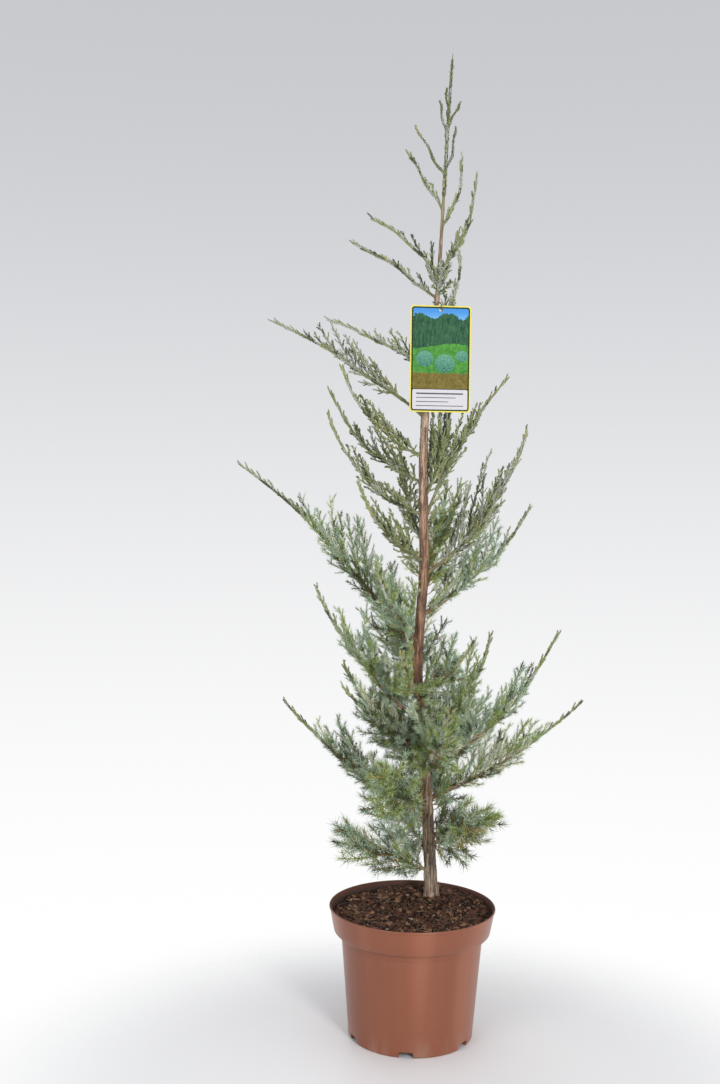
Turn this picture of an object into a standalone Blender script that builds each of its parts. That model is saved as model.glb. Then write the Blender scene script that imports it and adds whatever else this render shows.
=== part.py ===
# A potted upright juniper: pot, root ball, trunk, boughs, sprays of foliage and a hanging label.
# Metres, +Z up. The origin is the centre of the pot's flat underside, and -Y faces the viewer.
# Every spray grows by one seeded rule from its own stem, and keeps to the space nearest that stem.

import math
import random
from collections import namedtuple

import bmesh
import bpy
import numpy as np
from mathutils import Matrix, Vector

MM = 0.001
GAP = 0.3 * MM
UP = Vector((0, 0, 1))

# Pot: a tapered plastic container with a deep rim band, and drain notches in its bottom edge.
POT_HEIGHT = 0.1727
POT_WALL = 1.8 * MM
POT_FLOOR = 2.0 * MM
POT_STEPS = 36
BASE_RADIUS = 0.0828
SHOULDER_RADIUS, SHOULDER_HEIGHT = 0.0947, 0.1382
BAND_RADIUS, BAND_HEIGHT = 0.1040, 0.1402
RIM_RADIUS = 0.1103
RIM_LIP = 1.2 * MM
FOOT_CHAMFER = 2.0 * MM
POT_INNER = (
    (0, POT_FLOOR),
    (BASE_RADIUS - POT_WALL - FOOT_CHAMFER, POT_FLOOR),
    (BASE_RADIUS - POT_WALL, POT_FLOOR + FOOT_CHAMFER),
    (SHOULDER_RADIUS - POT_WALL, SHOULDER_HEIGHT + POT_WALL),
    (BAND_RADIUS - POT_WALL, BAND_HEIGHT + POT_WALL),
    (RIM_RADIUS - POT_WALL, POT_HEIGHT),
)
NOTCHES, NOTCH_TURN = 6, math.radians(-6)
NOTCH_WIDTH, NOTCH_HEIGHT, NOTCH_REACH = 0.019, 0.008, 0.015

# Root ball: it fills the pot to a little under the rim, and rises to a flat seat under the trunk.
SOIL_EDGE = 0.1625
SOIL_SEAT = 0.1697
SOIL_FOOT_RADIUS, SOIL_CORNER = 0.066, 0.012
SEAT_RADIUS, SLOPE_RADIUS = 0.026, 0.080
SOIL_RINGS = 5

# Trunk: height, sideways and backward place, and diameter without the root flare.
TRUNK_STATIONS = (
    (0.1700, 0.0285, 0.049, 0.0166),
    (0.208, 0.0263, 0.048, 0.0162),
    (0.335, 0.0172, 0.045, 0.0150),
    (0.480, 0.0042, 0.041, 0.0138),
    (0.625, 0.0100, 0.040, 0.0126),
    (0.760, 0.0068, 0.040, 0.0114),
    (0.870, 0.0108, 0.040, 0.0092),
    (0.983, 0.0214, 0.040, 0.0064),
    (1.116, 0.0280, 0.040, 0.0038),
    (1.236, 0.0332, 0.040, 0.0027),
    (1.311, 0.0371, 0.040, 0.0010),
)
FLARE_RADIUS, FLARE_HEIGHT = 0.0034, 0.016
TRUNK_STEPS = 3

# Label: a rounded card on a thin tie that goes through its hole and round the trunk.
LABEL_WIDTH, LABEL_HEIGHT, LABEL_THICKNESS = 0.0815, 0.141, 0.8 * MM
LABEL_CORNER = 0.005
LABEL_CENTRE = Vector((0.0260, 0.0160, 0.9012))
LABEL_YAW, LABEL_ROLL = math.radians(6), math.radians(-0.2)
HOLE_RADIUS, HOLE_DROP = 2.6 * MM, 5.6 * MM
TIE_RADIUS = 0.8 * MM

# Foliage: how far apart solids keep, and how the twigs and the teeth that stand for needles grow.
CLEAR = 0.5 * MM
GOLDEN = 0.618034
LOWEST_FOLIAGE = 0.180
SAMPLE_STEP = 3 * MM
FAN = math.radians(165)
TWIG_ANGLE, TWIG_ANGLE_SPREAD = math.radians(34), math.radians(14)
TWIG_LIFT, TWIG_CURL = 0.12, 0.12
TOOTH_PITCH, STEM_STEP, NEEDLE = 0.0205, 0.031, 0.0190
SHORTEST_TWIG = 0.014

# A limb's tip, bow and sizes. bow is how far the limb sags under its chord, as a share of it.
# bare is the share that is a bough of its own, spread the longest twig, young the needle share.
Limb = namedtuple("Limb", "side number root tip bow bare spread twigs girth young")
LIMBS = (
    Limb("leader", 1, 1.149, (-0.011, 0.030, 1.210), 0.02, 0, 0, 0, 1.3, 0),
    Limb("leader", 2, 1.156, (0.044, 0.060, 1.218), 0.08, 0, 0, 0, 1.3, 0),
    Limb("leader", 3, 1.102, (-0.021, 0.050, 1.181), 0.0, 0, 0.042, 2, 1.5, 0),
    Limb("leader", 4, 1.081, (0.050, 0.020, 1.168), 0.12, 0, 0.024, 5, 1.5, 0),
    Limb("leader", 5, 1.195, (0.020, 0.020, 1.240), 0.0, 0, 0, 0, 1.2, 0),
    Limb("leader", 6, 1.213, (0.049, 0.050, 1.249), 0.0, 0, 0, 0, 1.1, 0),
    Limb("leader", 7, 1.224, (0.031, 0.056, 1.269), 0.05, 0, 0, 0, 1.1, 0),
    Limb("left", 1, 1.012, (-0.069, 0.000, 1.081), -0.08, 0, 0.030, 6, 1.7, 0),
    Limb("left", 2, 0.984, (-0.094, 0.090, 1.067), -0.03, 0, 0.030, 6, 1.7, 0),
    Limb("left", 3, 0.886, (-0.123, -0.020, 0.945), -0.04, 0, 0.034, 6, 1.8, 0),
    Limb("left", 4, 0.824, (-0.203, 0.080, 0.957), -0.03, 0.14, 0.060, 11, 2.3, 0.1),
    Limb("left", 5, 0.774, (-0.104, -0.040, 0.883), 0.12, 0, 0.052, 6, 1.8, 0.1),
    Limb("left", 6, 0.737, (-0.125, 0.130, 0.868), 0.10, 0, 0.056, 7, 1.9, 0.1),
    Limb("left", 7, 0.693, (-0.122, 0.010, 0.828), 0.13, 0, 0.052, 6, 1.9, 0.1),
    Limb("left", 8, 0.632, (-0.081, -0.060, 0.735), 0.10, 0, 0.054, 7, 1.9, 0.1),
    Limb("left", 9, 0.496, (-0.247, 0.070, 0.761), -0.05, 0.10, 0.088, 14, 3.0, 0.5),
    Limb("left", 10, 0.411, (-0.135, -0.020, 0.599), 0.06, 0.14, 0.076, 10, 2.6, 0.6),
    Limb("left", 11, 0.373, (-0.097, -0.050, 0.471), 0.05, 0, 0.064, 8, 2.2, 0.8),
    Limb("left", 12, 0.270, (-0.180, 0.080, 0.432), 0.04, 0.14, 0.080, 11, 2.8, 0.8),
    Limb("left", 13, 0.205, (-0.096, 0.000, 0.288), 0.03, 0, 0.064, 9, 2.3, 1),
    Limb("right", 1, 0.714, (0.041, 0.050, 0.868), 0.07, 0, 0.056, 10, 1.9, 0.2),
    Limb("right", 2, 0.680, (0.123, 0.070, 0.882), -0.05, 0.18, 0.044, 8, 2.2, 0.1),
    Limb("right", 3, 0.611, (0.144, 0.020, 0.808), 0.09, 0.10, 0.076, 10, 2.4, 0.3),
    Limb("right", 4, 0.556, (0.161, 0.090, 0.706), 0.065, 0.10, 0.076, 10, 2.6, 0.5),
    Limb("right", 5, 0.455, (0.071, -0.030, 0.526), 0.10, 0, 0.044, 6, 2.1, 0.8),
    Limb("right", 6, 0.373, (0.110, 0.110, 0.525), 0.10, 0, 0.060, 8, 2.2, 0.6),
    Limb("right", 7, 0.339, (0.192, 0.020, 0.538), 0.075, 0.13, 0.076, 11, 2.8, 0.6),
    Limb("right", 8, 0.304, (0.235, 0.080, 0.436), 0.05, 0.13, 0.076, 11, 2.8, 0.7),
    Limb("right", 9, 0.252, (0.118, -0.010, 0.318), -0.03, 0, 0.068, 8, 2.4, 1),
    Limb("right", 10, 1.020, (0.075, 0.070, 1.161), 0.10, 0, 0.032, 6, 1.8, 0),
    Limb("right", 11, 0.922, (0.049, 0.030, 1.044), 0.10, 0, 0.028, 6, 1.6, 0),
    Limb("front", 1, 0.441, (-0.025, -0.110, 0.526), 0.05, 0, 0.066, 8, 2.3, 0.8),
    Limb("front", 2, 0.346, (0.040, -0.125, 0.460), 0.05, 0, 0.070, 9, 2.6, 0.8),
    Limb("front", 3, 0.288, (-0.048, -0.095, 0.368), 0.03, 0, 0.066, 8, 2.4, 1),
    Limb("front", 4, 0.240, (0.070, -0.075, 0.298), 0.0, 0, 0.062, 7, 2.3, 1),
    Limb("front", 5, 0.520, (-0.056, -0.080, 0.626), 0.06, 0, 0.060, 7, 2.0, 0.6),
    Limb("front", 6, 0.988, (0.026, 0.008, 1.020), 0.0, 0, 0.034, 7, 1.5, 0.1),
    Limb("back", 1, 0.290, (0.070, 0.190, 0.376), 0.03, 0, 0.070, 8, 2.5, 0.9),
    Limb("back", 2, 0.455, (-0.030, 0.210, 0.590), 0.06, 0.12, 0.074, 9, 2.7, 0.6),
    Limb("back", 3, 0.578, (0.050, 0.190, 0.740), 0.08, 0.12, 0.070, 9, 2.4, 0.4),
    Limb("back", 4, 0.655, (-0.024, 0.155, 0.800), 0.10, 0, 0.058, 7, 2.0, 0.2),
    Limb("back", 5, 0.850, (0.040, 0.140, 1.005), 0.08, 0, 0.036, 6, 1.8, 0),
    Limb("back", 6, 0.350, (-0.100, 0.170, 0.470), 0.05, 0, 0.070, 8, 2.4, 0.8),
    Limb("back", 7, 0.236, (-0.050, 0.155, 0.310), 0.03, 0, 0.062, 7, 2.3, 1),
)

MATERIALS = {
    "pot_plastic": ((0.46, 0.17, 0.095), 0.42),
    "potting_mix": ((0.055, 0.034, 0.024), 0.95),
    "bark": ((0.24, 0.125, 0.078), 0.85),
    "needles": ((0.155, 0.235, 0.165), 0.70),
    "scale_leaves": ((0.19, 0.245, 0.12), 0.65),
    "label_card": ((0.82, 0.78, 0.30), 0.40),
    "tie": ((0.10, 0.13, 0.07), 0.50),
}


def make_material(name):
    colour, roughness = MATERIALS[name]
    material = bpy.data.materials.new(name)
    material.use_nodes = True
    shader = material.node_tree.nodes["Principled BSDF"]
    shader.inputs["Base Color"].default_value = (*colour, 1)
    shader.inputs["Roughness"].default_value = roughness
    shader.inputs["Metallic"].default_value = 0
    material.diffuse_color = (*colour, 1)
    return material


def new_object(name, data, collection, material=None):
    made = bpy.data.objects.new(name, data)
    collection.objects.link(made)
    if material is not None:
        data.materials.clear()
        data.materials.append(material)
    return made


def evaluated_mesh(source):
    """The object's mesh with its modifiers applied, in world space, a curve's caps welded."""
    bpy.context.view_layer.update()
    evaluated = source.evaluated_get(bpy.context.evaluated_depsgraph_get())
    mesh = bpy.data.meshes.new_from_object(evaluated)
    mesh.transform(source.matrix_world)
    if source.type == "CURVE":
        shape = bmesh.new()
        shape.from_mesh(mesh)
        bmesh.ops.remove_doubles(shape, verts=shape.verts, dist=0.02 * MM)
        shape.to_mesh(mesh)
        shape.free()
    return mesh


def made_real(source):
    """Swaps an object for a plain mesh object of the same name, collection and material."""
    mesh = evaluated_mesh(source)
    name = source.name
    collection = source.users_collection[0]
    bpy.data.objects.remove(source)
    made = bpy.data.objects.new(name, mesh)
    collection.objects.link(made)
    return made


def turned(name, profile, steps, collection, material):
    """A turned solid: the profile, as (radius, height) pairs, with a Screw modifier."""
    mesh = bpy.data.meshes.new(name)
    edges = [(i, i + 1) for i in range(len(profile) - 1)]
    mesh.from_pydata([(r, 0, z) for r, z in profile], edges, [])
    made = new_object(name, mesh, collection, material)
    screw = made.modifiers.new("turn", "SCREW")
    screw.steps = screw.render_steps = steps
    screw.use_merge_vertices = True
    screw.merge_threshold = 0.05 * MM
    screw.use_smooth_shade = True
    return made


def swept(name, points, radii, collection, material=None, sides=6, loop=False):
    """A tapered round tube along the points, with that many sides."""
    curve = bpy.data.curves.new(name, "CURVE")
    curve.dimensions = "3D"
    spline = curve.splines.new("POLY")
    spline.points.add(len(points) - 1)
    for place, point, radius in zip(spline.points, points, radii):
        place.co = (*point, 1)
        place.radius = radius
    spline.use_cyclic_u = loop
    curve.bevel_depth = 1
    curve.bevel_resolution = (sides - 4) // 2
    curve.use_fill_caps = not loop
    return made_real(new_object(name, curve, collection, material))


def smooth_through(rows, steps):
    """Catmull-Rom points through the rows of numbers, with that many steps between two rows."""
    rows = [np.array(row, float) for row in rows]
    ends = [2 * rows[0] - rows[1], *rows, 2 * rows[-1] - rows[-2]]
    found = []
    for a, b, c, d in zip(ends, ends[1:], ends[2:], ends[3:]):
        for k in range(steps):
            t = k / steps
            bend = 2 * a - 5 * b + 4 * c - d
            twist = 3 * b - a - 3 * c + d
            found.append(b + 0.5 * t * ((c - a) + t * (bend + t * twist)))
    return found + [rows[-1]]


def trunk_line():
    """(height, x, y, radius) rows along the trunk, with the root flare in the radius."""
    rows = smooth_through(TRUNK_STATIONS, TRUNK_STEPS)
    ground = TRUNK_STATIONS[0][0]
    flared = [0.25 * FLARE_HEIGHT, 0.5 * FLARE_HEIGHT, FLARE_HEIGHT]
    extra = [rows[0] + (rows[1] - rows[0]) * rise / (rows[1][0] - ground) for rise in flared]
    rows = sorted([*rows, *extra], key=lambda row: row[0])
    for row in rows:
        row[3] = row[3] / 2 + FLARE_RADIUS * math.exp(-(row[0] - ground) / FLARE_HEIGHT)
    return rows


TRUNK = trunk_line()


def trunk_at(height):
    """The trunk's axis point and radius at a height."""
    heights = [row[0] for row in TRUNK]
    x, y, radius = (np.interp(height, heights, [row[k] for row in TRUNK]) for k in (1, 2, 3))
    return Vector((x, y, height)), float(radius)


def limb_point(limb, t):
    """A point of the limb: a bowed line from the trunk's axis to the tip."""
    root = trunk_at(limb.root)[0]
    tip = Vector(limb.tip)
    chord = tip - root
    outward = Vector((chord.x, chord.y, 0)).normalized()
    rise, reach = chord.z, chord.dot(outward)
    sag = (outward * rise - UP * reach) * limb.bow
    middle = (root + tip) / 2 + sag * 2
    return root * (1 - t) ** 2 + middle * 2 * t * (1 - t) + tip * t**2


def limb_length(limb):
    return (Vector(limb.tip) - trunk_at(limb.root)[0]).length


def limb_radius(limb, t):
    """The limb's radius: it tapers from its girth at the trunk to a fine tip."""
    return limb.girth * MM * (0.16 + 0.84 * max(0, 1 - t) ** 0.8)


def sides_of(tangent):
    """Two directions square to the tangent: one level, and one in the tangent's upright plane."""
    level = tangent.cross(UP)
    level = level.normalized() if level.length > 1e-6 else Vector((1, 0, 0))
    return level, level.cross(tangent).normalized()


def twig_profile(s):
    """How long a twig is along the spray: it swells near the foot and dies away at the tip."""
    return max(0.22, (s / 0.22) ** 0.5 if s < 0.22 else ((1 - s) / 0.78) ** 1.1)


def twig_starts(limb):
    """The twigs' start, direction and length by the seeded rule, as (start, direction, length)."""
    dice = random.Random(f"{limb.side}{limb.number}")
    found = []
    for i in range(limb.twigs):
        s = (i + 0.5) / limb.twigs
        t = limb.bare + 0.04 + (0.93 - limb.bare) * s
        tangent = (limb_point(limb, t + 0.01) - limb_point(limb, t - 0.01)).normalized()
        level, over = sides_of(tangent)
        side = 2 * ((i * GOLDEN + dice.random() * 0.12) % 1) - 1
        round_stem = side * FAN
        outward = over * math.cos(round_stem) + level * math.sin(round_stem)
        angle = TWIG_ANGLE + TWIG_ANGLE_SPREAD * dice.random()
        direction = tangent * math.cos(angle) + outward * math.sin(angle) + UP * TWIG_LIFT
        length = limb.spread * twig_profile(s) * (0.8 + 0.4 * dice.random())
        found.append((limb_point(limb, t), direction.normalized(), length))
    return found


def twig_point(start, direction, length, u):
    return start + direction * (length * u) + UP * (TWIG_CURL * length * u * u)


def limb_samples(limb, start=0.0, end=1.0):
    count = max(4, int(limb_length(limb) * (end - start) / SAMPLE_STEP))
    return np.array([limb_point(limb, start + (end - start) * k / count) for k in range(count + 1)])


def obstacle_samples(tie_path):
    """Points and radii that stand for the trunk, the label and its tie."""
    top = TRUNK[-1][0]
    heights = np.arange(TRUNK[0][0], top, SAMPLE_STEP)
    rows = [(*trunk_at(h)[0], trunk_at(h)[1]) for h in heights]
    turn = label_turn()
    for x in np.linspace(-LABEL_WIDTH / 2, LABEL_WIDTH / 2, 20):
        for z in np.linspace(-LABEL_HEIGHT / 2, LABEL_HEIGHT / 2, 34):
            rows.append((*(turn @ Vector((x, 0, z))), 3 * MM))
    rows += [(*point, TIE_RADIUS + 1 * MM) for point in tie_path]
    return np.array(rows)


class Space:
    """Says whether a piece keeps to the space that is nearest its own stem, and clear of limbs."""

    def __init__(self, obstacles):
        self.stems = [limb_samples(limb) for limb in LIMBS]
        boughs = [
            np.array([(*point, limb.girth * MM) for point in limb_samples(limb, 0, limb.bare)])
            if limb.bare
            else np.zeros((0, 4))
            for limb in LIMBS
        ]
        self.blocks = [
            np.vstack([obstacles, *(b for j, b in enumerate(boughs) if j != i)])
            for i in range(len(LIMBS))
        ]
        self.others = [
            np.vstack([s for j, s in enumerate(self.stems) if j != i]) for i in range(len(LIMBS))
        ]

    def holds(self, index, points, radius):
        for point in np.array(points):
            if point[2] - radius < LOWEST_FOLIAGE:
                return False
            own = np.linalg.norm(self.stems[index] - point, axis=1).min()
            other = np.linalg.norm(self.others[index] - point, axis=1).min()
            block = self.blocks[index]
            free = (np.linalg.norm(block[:, :3] - point, axis=1) - block[:, 3]).min()
            if other - own < 2 * (radius + CLEAR) or free < radius + CLEAR:
                return False
        return True


def blade(name, line, count, bare, width, needle, angle, roll, collection, material=None):
    """A toothed blade: a diamond rod along the line, with a tooth on each side of every step
    after the bare ones."""
    level, over = sides_of((line(1) - line(0)).normalized())
    across = level * math.cos(roll) + over * math.sin(roll)
    verts, faces = [], []
    for j in range(count):
        u = j / count
        tangent = (line(u + 0.02) - line(max(0, u - 0.02))).normalized()
        thick = across.cross(tangent)
        half = width * (1 - 0.7 * u)
        length = needle * (1 - 0.35 * u)
        forward = tangent * (length * math.cos(angle))
        sideways = across * (half + length * math.sin(angle))
        here = line(u)
        base = len(verts)
        verts += [here + across * half, here + thick * half, here - across * half]
        verts.append(here - thick * half)
        ahead = base + 4
        if j >= bare:
            verts += [here + forward + sideways, here + forward - sideways]
            ahead = base + 6
        for k in range(4):
            side, face = base + k, base + (k + 1) % 4
            side_ahead, face_ahead = ahead + k, ahead + (k + 1) % 4
            if j == count - 1:
                side_ahead = face_ahead = ahead
            corners = [side, side_ahead, face_ahead, face]
            if j >= bare:
                tip = base + 4 + (k in (1, 2))
                place = 1 if k in (0, 2) else 3
                corners.insert(place, tip)
            corners = list(dict.fromkeys(corners))
            hub = corners.index(face if k in (0, 2) else side)
            fan = corners[hub:] + corners[:hub]
            faces += [(fan[0], fan[i], fan[i + 1]) for i in range(1, len(fan) - 1)]
    verts.append(line(1))
    faces.append((0, 1, 2, 3))
    mesh = bpy.data.meshes.new(name)
    mesh.from_pydata(verts, [], faces)
    return new_object(name, mesh, collection, material)


def grow_spray(limb, index, space, collection, material):
    """One foliage mass: a toothed stem and its toothed twigs, fused by one union into one solid."""
    name = f"{limb.side}_spray_{limb.number}"
    dice = random.Random(name)
    length = limb_length(limb)
    first = limb.bare + (GAP / length if limb.bare else 0.0)
    parts = bpy.data.collections.new(name + "_twigs")
    bpy.context.scene.collection.children.link(parts)
    needle = NEEDLE * (1 - 0.1 * limb.young)
    angle = math.radians(22 + 22 * limb.young)
    width = (1.0 + 0.7 * limb.young) * MM

    def along_stem(u):
        return limb_point(limb, first + (1 - first) * u)

    count = max(3, round(length * (1 - first) / STEM_STEP))
    girth = limb_radius(limb, first) * 1.15
    bare = count // 2 if limb.twigs > 2 else 0
    stem = blade(name, along_stem, count, bare, girth, needle, angle, 0, collection, material)

    for i, (start, direction, reach) in enumerate(twig_starts(limb)):
        side = needle * math.sin(angle) * 0.6
        while reach > SHORTEST_TWIG:
            checked = [twig_point(start, direction, reach, u) for u in (0.3, 0.5, 0.75, 1)]
            if space.holds(index, checked, side):
                break
            reach *= 0.85
        if reach <= SHORTEST_TWIG:
            continue

        def along_twig(u, start=start, direction=direction, reach=reach):
            return twig_point(start, direction, reach, u)

        count = max(2, round(reach / TOOTH_PITCH))
        roll = dice.uniform(-1.2, 1.2)
        blade(f"{name}_{i}", along_twig, count, 1, width, needle, angle, roll, parts)

    if parts.objects:
        union = stem.modifiers.new("fuse", "BOOLEAN")
        union.operation = "UNION"
        union.operand_type = "COLLECTION"
        union.collection = parts
        union.solver = "EXACT"
    if not limb.bare:
        clear_of_trunk(stem)
    stem = made_real(stem)
    keep_largest(stem.data)
    for part in list(parts.objects):
        bpy.data.objects.remove(part)
    bpy.data.collections.remove(parts)
    return stem


def keep_largest(mesh):
    """Drops loose scraps, so that one closed body is left."""
    shape = bmesh.new()
    shape.from_mesh(mesh)
    left = set(shape.verts)
    bodies = []
    while left:
        body, edge = set(), [next(iter(left))]
        while edge:
            vert = edge.pop()
            if vert in body:
                continue
            body.add(vert)
            edge += [e.other_vert(vert) for e in vert.link_edges]
        left -= body
        bodies.append(body)
    bodies.sort(key=len)
    scraps = [vert for body in bodies[:-1] for vert in body]
    bmesh.ops.delete(shape, geom=scraps, context="VERTS")
    shape.to_mesh(mesh)
    shape.free()


def clear_of_trunk(limb_object):
    """Cuts a limb's foot to the trunk's round, 0.3 mm clear of it."""
    cut = limb_object.modifiers.new("clear_of_trunk", "BOOLEAN")
    cut.operation = "DIFFERENCE"
    cut.object = bpy.data.objects["trunk_cutter"]
    cut.solver = "EXACT"


def make_pot(collection, cutters, material):
    outer = [
        (RIM_RADIUS, POT_HEIGHT),
        (RIM_RADIUS + RIM_LIP / 2, POT_HEIGHT - RIM_LIP),
        (RIM_RADIUS - RIM_LIP / 4, POT_HEIGHT - 3 * RIM_LIP),
        (BAND_RADIUS, BAND_HEIGHT),
        (BAND_RADIUS - POT_WALL, BAND_HEIGHT - POT_WALL),
        (SHOULDER_RADIUS, SHOULDER_HEIGHT),
        (BASE_RADIUS + 0.1 * MM, FOOT_CHAMFER),
        (BASE_RADIUS - FOOT_CHAMFER / 2, 0),
        (0, 0),
    ]
    pot = turned("pot", [*POT_INNER, *outer], POT_STEPS, collection, material)
    for k in range(NOTCHES):
        angle = NOTCH_TURN - math.pi / 2 + math.tau * k / NOTCHES
        mesh = bpy.data.meshes.new(f"notch_{k}")
        shape = bmesh.new()
        size = Matrix.Diagonal((2 * NOTCH_REACH, NOTCH_WIDTH, 2 * NOTCH_HEIGHT, 1))
        bmesh.ops.create_cube(shape, size=1, matrix=size)
        top = [e for e in shape.edges if all(v.co.z > 0 for v in e.verts)]
        lengthwise = [e for e in top if abs(e.verts[0].co.x - e.verts[1].co.x) > NOTCH_REACH]
        bmesh.ops.bevel(
            shape,
            geom=lengthwise,
            offset=NOTCH_HEIGHT / 2,
            segments=2,
            profile=0.5,
            affect="EDGES",
        )
        centre = Vector((math.cos(angle), math.sin(angle), 0)) * BASE_RADIUS
        place = Matrix.Translation(centre) @ Matrix.Rotation(angle, 4, "Z")
        bmesh.ops.transform(shape, matrix=place, verts=shape.verts)
        shape.to_mesh(mesh)
        shape.free()
        cutter = new_object(f"notch_{k}", mesh, cutters)
        cutter.hide_render = True
        cutter.display_type = "WIRE"
        cut = pot.modifiers.new(f"notch_{k}", "BOOLEAN")
        cut.operation = "DIFFERENCE"
        cut.object = cutter
        cut.solver = "EXACT"
    return pot


def soil_height(x, y):
    """The soil's surface: level under the trunk, falling away and slightly uneven towards the rim."""
    seat = trunk_at(TRUNK[0][0])[0]
    away = math.hypot(x - seat.x, y - seat.y)
    fall = min(1, max(0, (away - SEAT_RADIUS) / SLOPE_RADIUS))
    smooth = fall * fall * (3 - 2 * fall)
    waves = 1.2 * MM * math.sin(95 * x + 40 * y) * math.cos(70 * y - 30 * x)
    return SOIL_SEAT + (SOIL_EDGE - SOIL_SEAT + waves) * smooth


def make_soil(collection, material):
    def inside(height):
        heights = [z for r, z in POT_INNER[2:]]
        return float(np.interp(height, heights, [r for r, z in POT_INNER[2:]])) - GAP

    edge = inside(SOIL_EDGE)
    rings = [(edge * k / SOIL_RINGS, SOIL_EDGE) for k in range(SOIL_RINGS)]
    sides = [
        (edge, SOIL_EDGE),
        (inside(BAND_HEIGHT + POT_WALL), BAND_HEIGHT + POT_WALL),
        (inside(SHOULDER_HEIGHT + POT_WALL), SHOULDER_HEIGHT + POT_WALL),
        (inside(SOIL_CORNER), SOIL_CORNER),
        (SOIL_FOOT_RADIUS, POT_FLOOR + GAP),
        (0, POT_FLOOR + GAP),
    ]
    soil = made_real(turned("root_ball", rings + sides, POT_STEPS, collection, material))
    for vert in soil.data.vertices:
        if vert.co.z > SOIL_EDGE - MM and vert.co.xy.length < edge - MM:
            vert.co.z = soil_height(vert.co.x, vert.co.y)
    return soil


def make_trunk(collection, cutters, material):
    points = [(x, y, height) for height, x, y, radius in TRUNK]
    radii = [row[3] for row in TRUNK]
    points[1] = (points[0][0], points[0][1], points[1][2])
    trunk = swept("trunk", points, radii, collection, material, sides=8)
    fat = [radius + GAP / math.cos(math.pi / 8) for radius in radii]
    cutter = swept("trunk_cutter", points, fat, cutters, sides=8)
    cutter.hide_render = True
    cutter.display_type = "WIRE"
    return trunk


def make_bough(limb, collection, material):
    """The bare foot of a main limb, from the trunk to where its foliage begins."""
    steps = 5
    shares = [limb.bare * k / steps for k in range(steps + 1)]
    points = [limb_point(limb, t) for t in shares]
    radii = [limb_radius(limb, t) for t in shares]
    bough = swept(f"{limb.side}_bough_{limb.number}", points, radii, collection, material)
    clear_of_trunk(bough)
    return bough


def label_turn():
    """The label's own frame in the model: X across, Z up, Y out of its back."""
    turn = Matrix.Rotation(LABEL_YAW, 4, "Z") @ Matrix.Rotation(LABEL_ROLL, 4, "Y")
    return Matrix.Translation(LABEL_CENTRE) @ turn


def round_outline(spline, half_width, half_height, corner):
    """A rectangle with rounded corners as a cyclic poly spline."""
    points = []
    for k, (sx, sy) in enumerate(((1, 1), (-1, 1), (-1, -1), (1, -1))):
        for step in range(5):
            angle = math.pi / 2 * (k + step / 4)
            x = sx * (half_width - corner) + corner * math.cos(angle)
            y = sy * (half_height - corner) + corner * math.sin(angle)
            points.append((x, y))
    spline.points.add(len(points) - 1)
    for place, (x, y) in zip(spline.points, points):
        place.co = (x, y, 0, 1)
    spline.use_cyclic_u = True


def make_label(collection, material):
    curve = bpy.data.curves.new("label", "CURVE")
    curve.dimensions = "2D"
    curve.fill_mode = "BOTH"
    curve.extrude = LABEL_THICKNESS / 2
    outline = curve.splines.new("POLY")
    round_outline(outline, LABEL_WIDTH / 2, LABEL_HEIGHT / 2, LABEL_CORNER)
    hole = curve.splines.new("POLY")
    hole.points.add(11)
    for k, place in enumerate(hole.points):
        angle = math.tau * k / 12
        drop = LABEL_HEIGHT / 2 - HOLE_DROP
        place.co = (HOLE_RADIUS * math.cos(angle), drop + HOLE_RADIUS * math.sin(angle), 0, 1)
    hole.use_cyclic_u = True
    label = new_object("label", curve, collection, material)
    label.matrix_world = label_turn() @ Matrix.Rotation(math.pi / 2, 4, "X")
    return made_real(label)


def tie_line():
    """The tie's closed path: through the label's hole, round the trunk, back over its top edge."""
    turn = label_turn()
    hole = LABEL_HEIGHT / 2 - HOLE_DROP
    seat = hole + HOLE_RADIUS - TIE_RADIUS - GAP
    over = LABEL_HEIGHT / 2 + TIE_RADIUS + 0.8 * MM
    step = 2.2 * MM
    axis, radius = trunk_at(LABEL_CENTRE.z + over + 6 * MM)
    wrap = (radius + GAP + TIE_RADIUS) * 1.12
    turns = [math.radians(degrees) for degrees in (205, 145, 90, 35, -25)]
    round_trunk = [axis + Vector((math.cos(a), math.sin(a), 0)) * wrap for a in turns]
    knots = [
        turn @ Vector((0, -step, seat + MM)),
        turn @ Vector((0, step, seat)),
        *round_trunk,
        turn @ Vector((0.4 * MM, step, over + 0.6 * MM)),
        turn @ Vector((0, -step, over - 0.4 * MM)),
    ]
    ring = [np.array(knot) for knot in knots]
    count = len(ring)
    found = []
    for i in range(count):
        a, b, c, d = (ring[(i + k) % count] for k in (-1, 0, 1, 2))
        for t in (0, 0.33, 0.67):
            bend = 2 * a - 5 * b + 4 * c - d
            twist = 3 * b - a - 3 * c + d
            found.append(Vector(b + 0.5 * t * ((c - a) + t * (bend + t * twist))))
    return found


def main():
    for old in list(bpy.data.objects):
        bpy.data.objects.remove(old)
    plant = bpy.data.collections.new("potted_juniper")
    cutters = bpy.data.collections.new("cutters")
    for collection in (plant, cutters):
        bpy.context.scene.collection.children.link(collection)
    materials = {name: make_material(name) for name in MATERIALS}

    make_pot(plant, cutters, materials["pot_plastic"])
    make_soil(plant, materials["potting_mix"])
    make_trunk(plant, cutters, materials["bark"])
    make_label(plant, materials["label_card"])
    tie_path = tie_line()
    tie_radii = [TIE_RADIUS] * len(tie_path)
    swept("label_tie", tie_path, tie_radii, plant, materials["tie"], loop=True)

    space = Space(obstacle_samples(tie_path))
    for index, limb in enumerate(LIMBS):
        if limb.bare:
            make_bough(limb, plant, materials["bark"])
        leaves = materials["needles" if limb.young >= 0.5 else "scale_leaves"]
        grow_spray(limb, index, space, plant, leaves)


main()
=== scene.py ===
import math
import random

import bmesh
import bpy
import numpy as np
from mathutils import Matrix, Vector, noise


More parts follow.
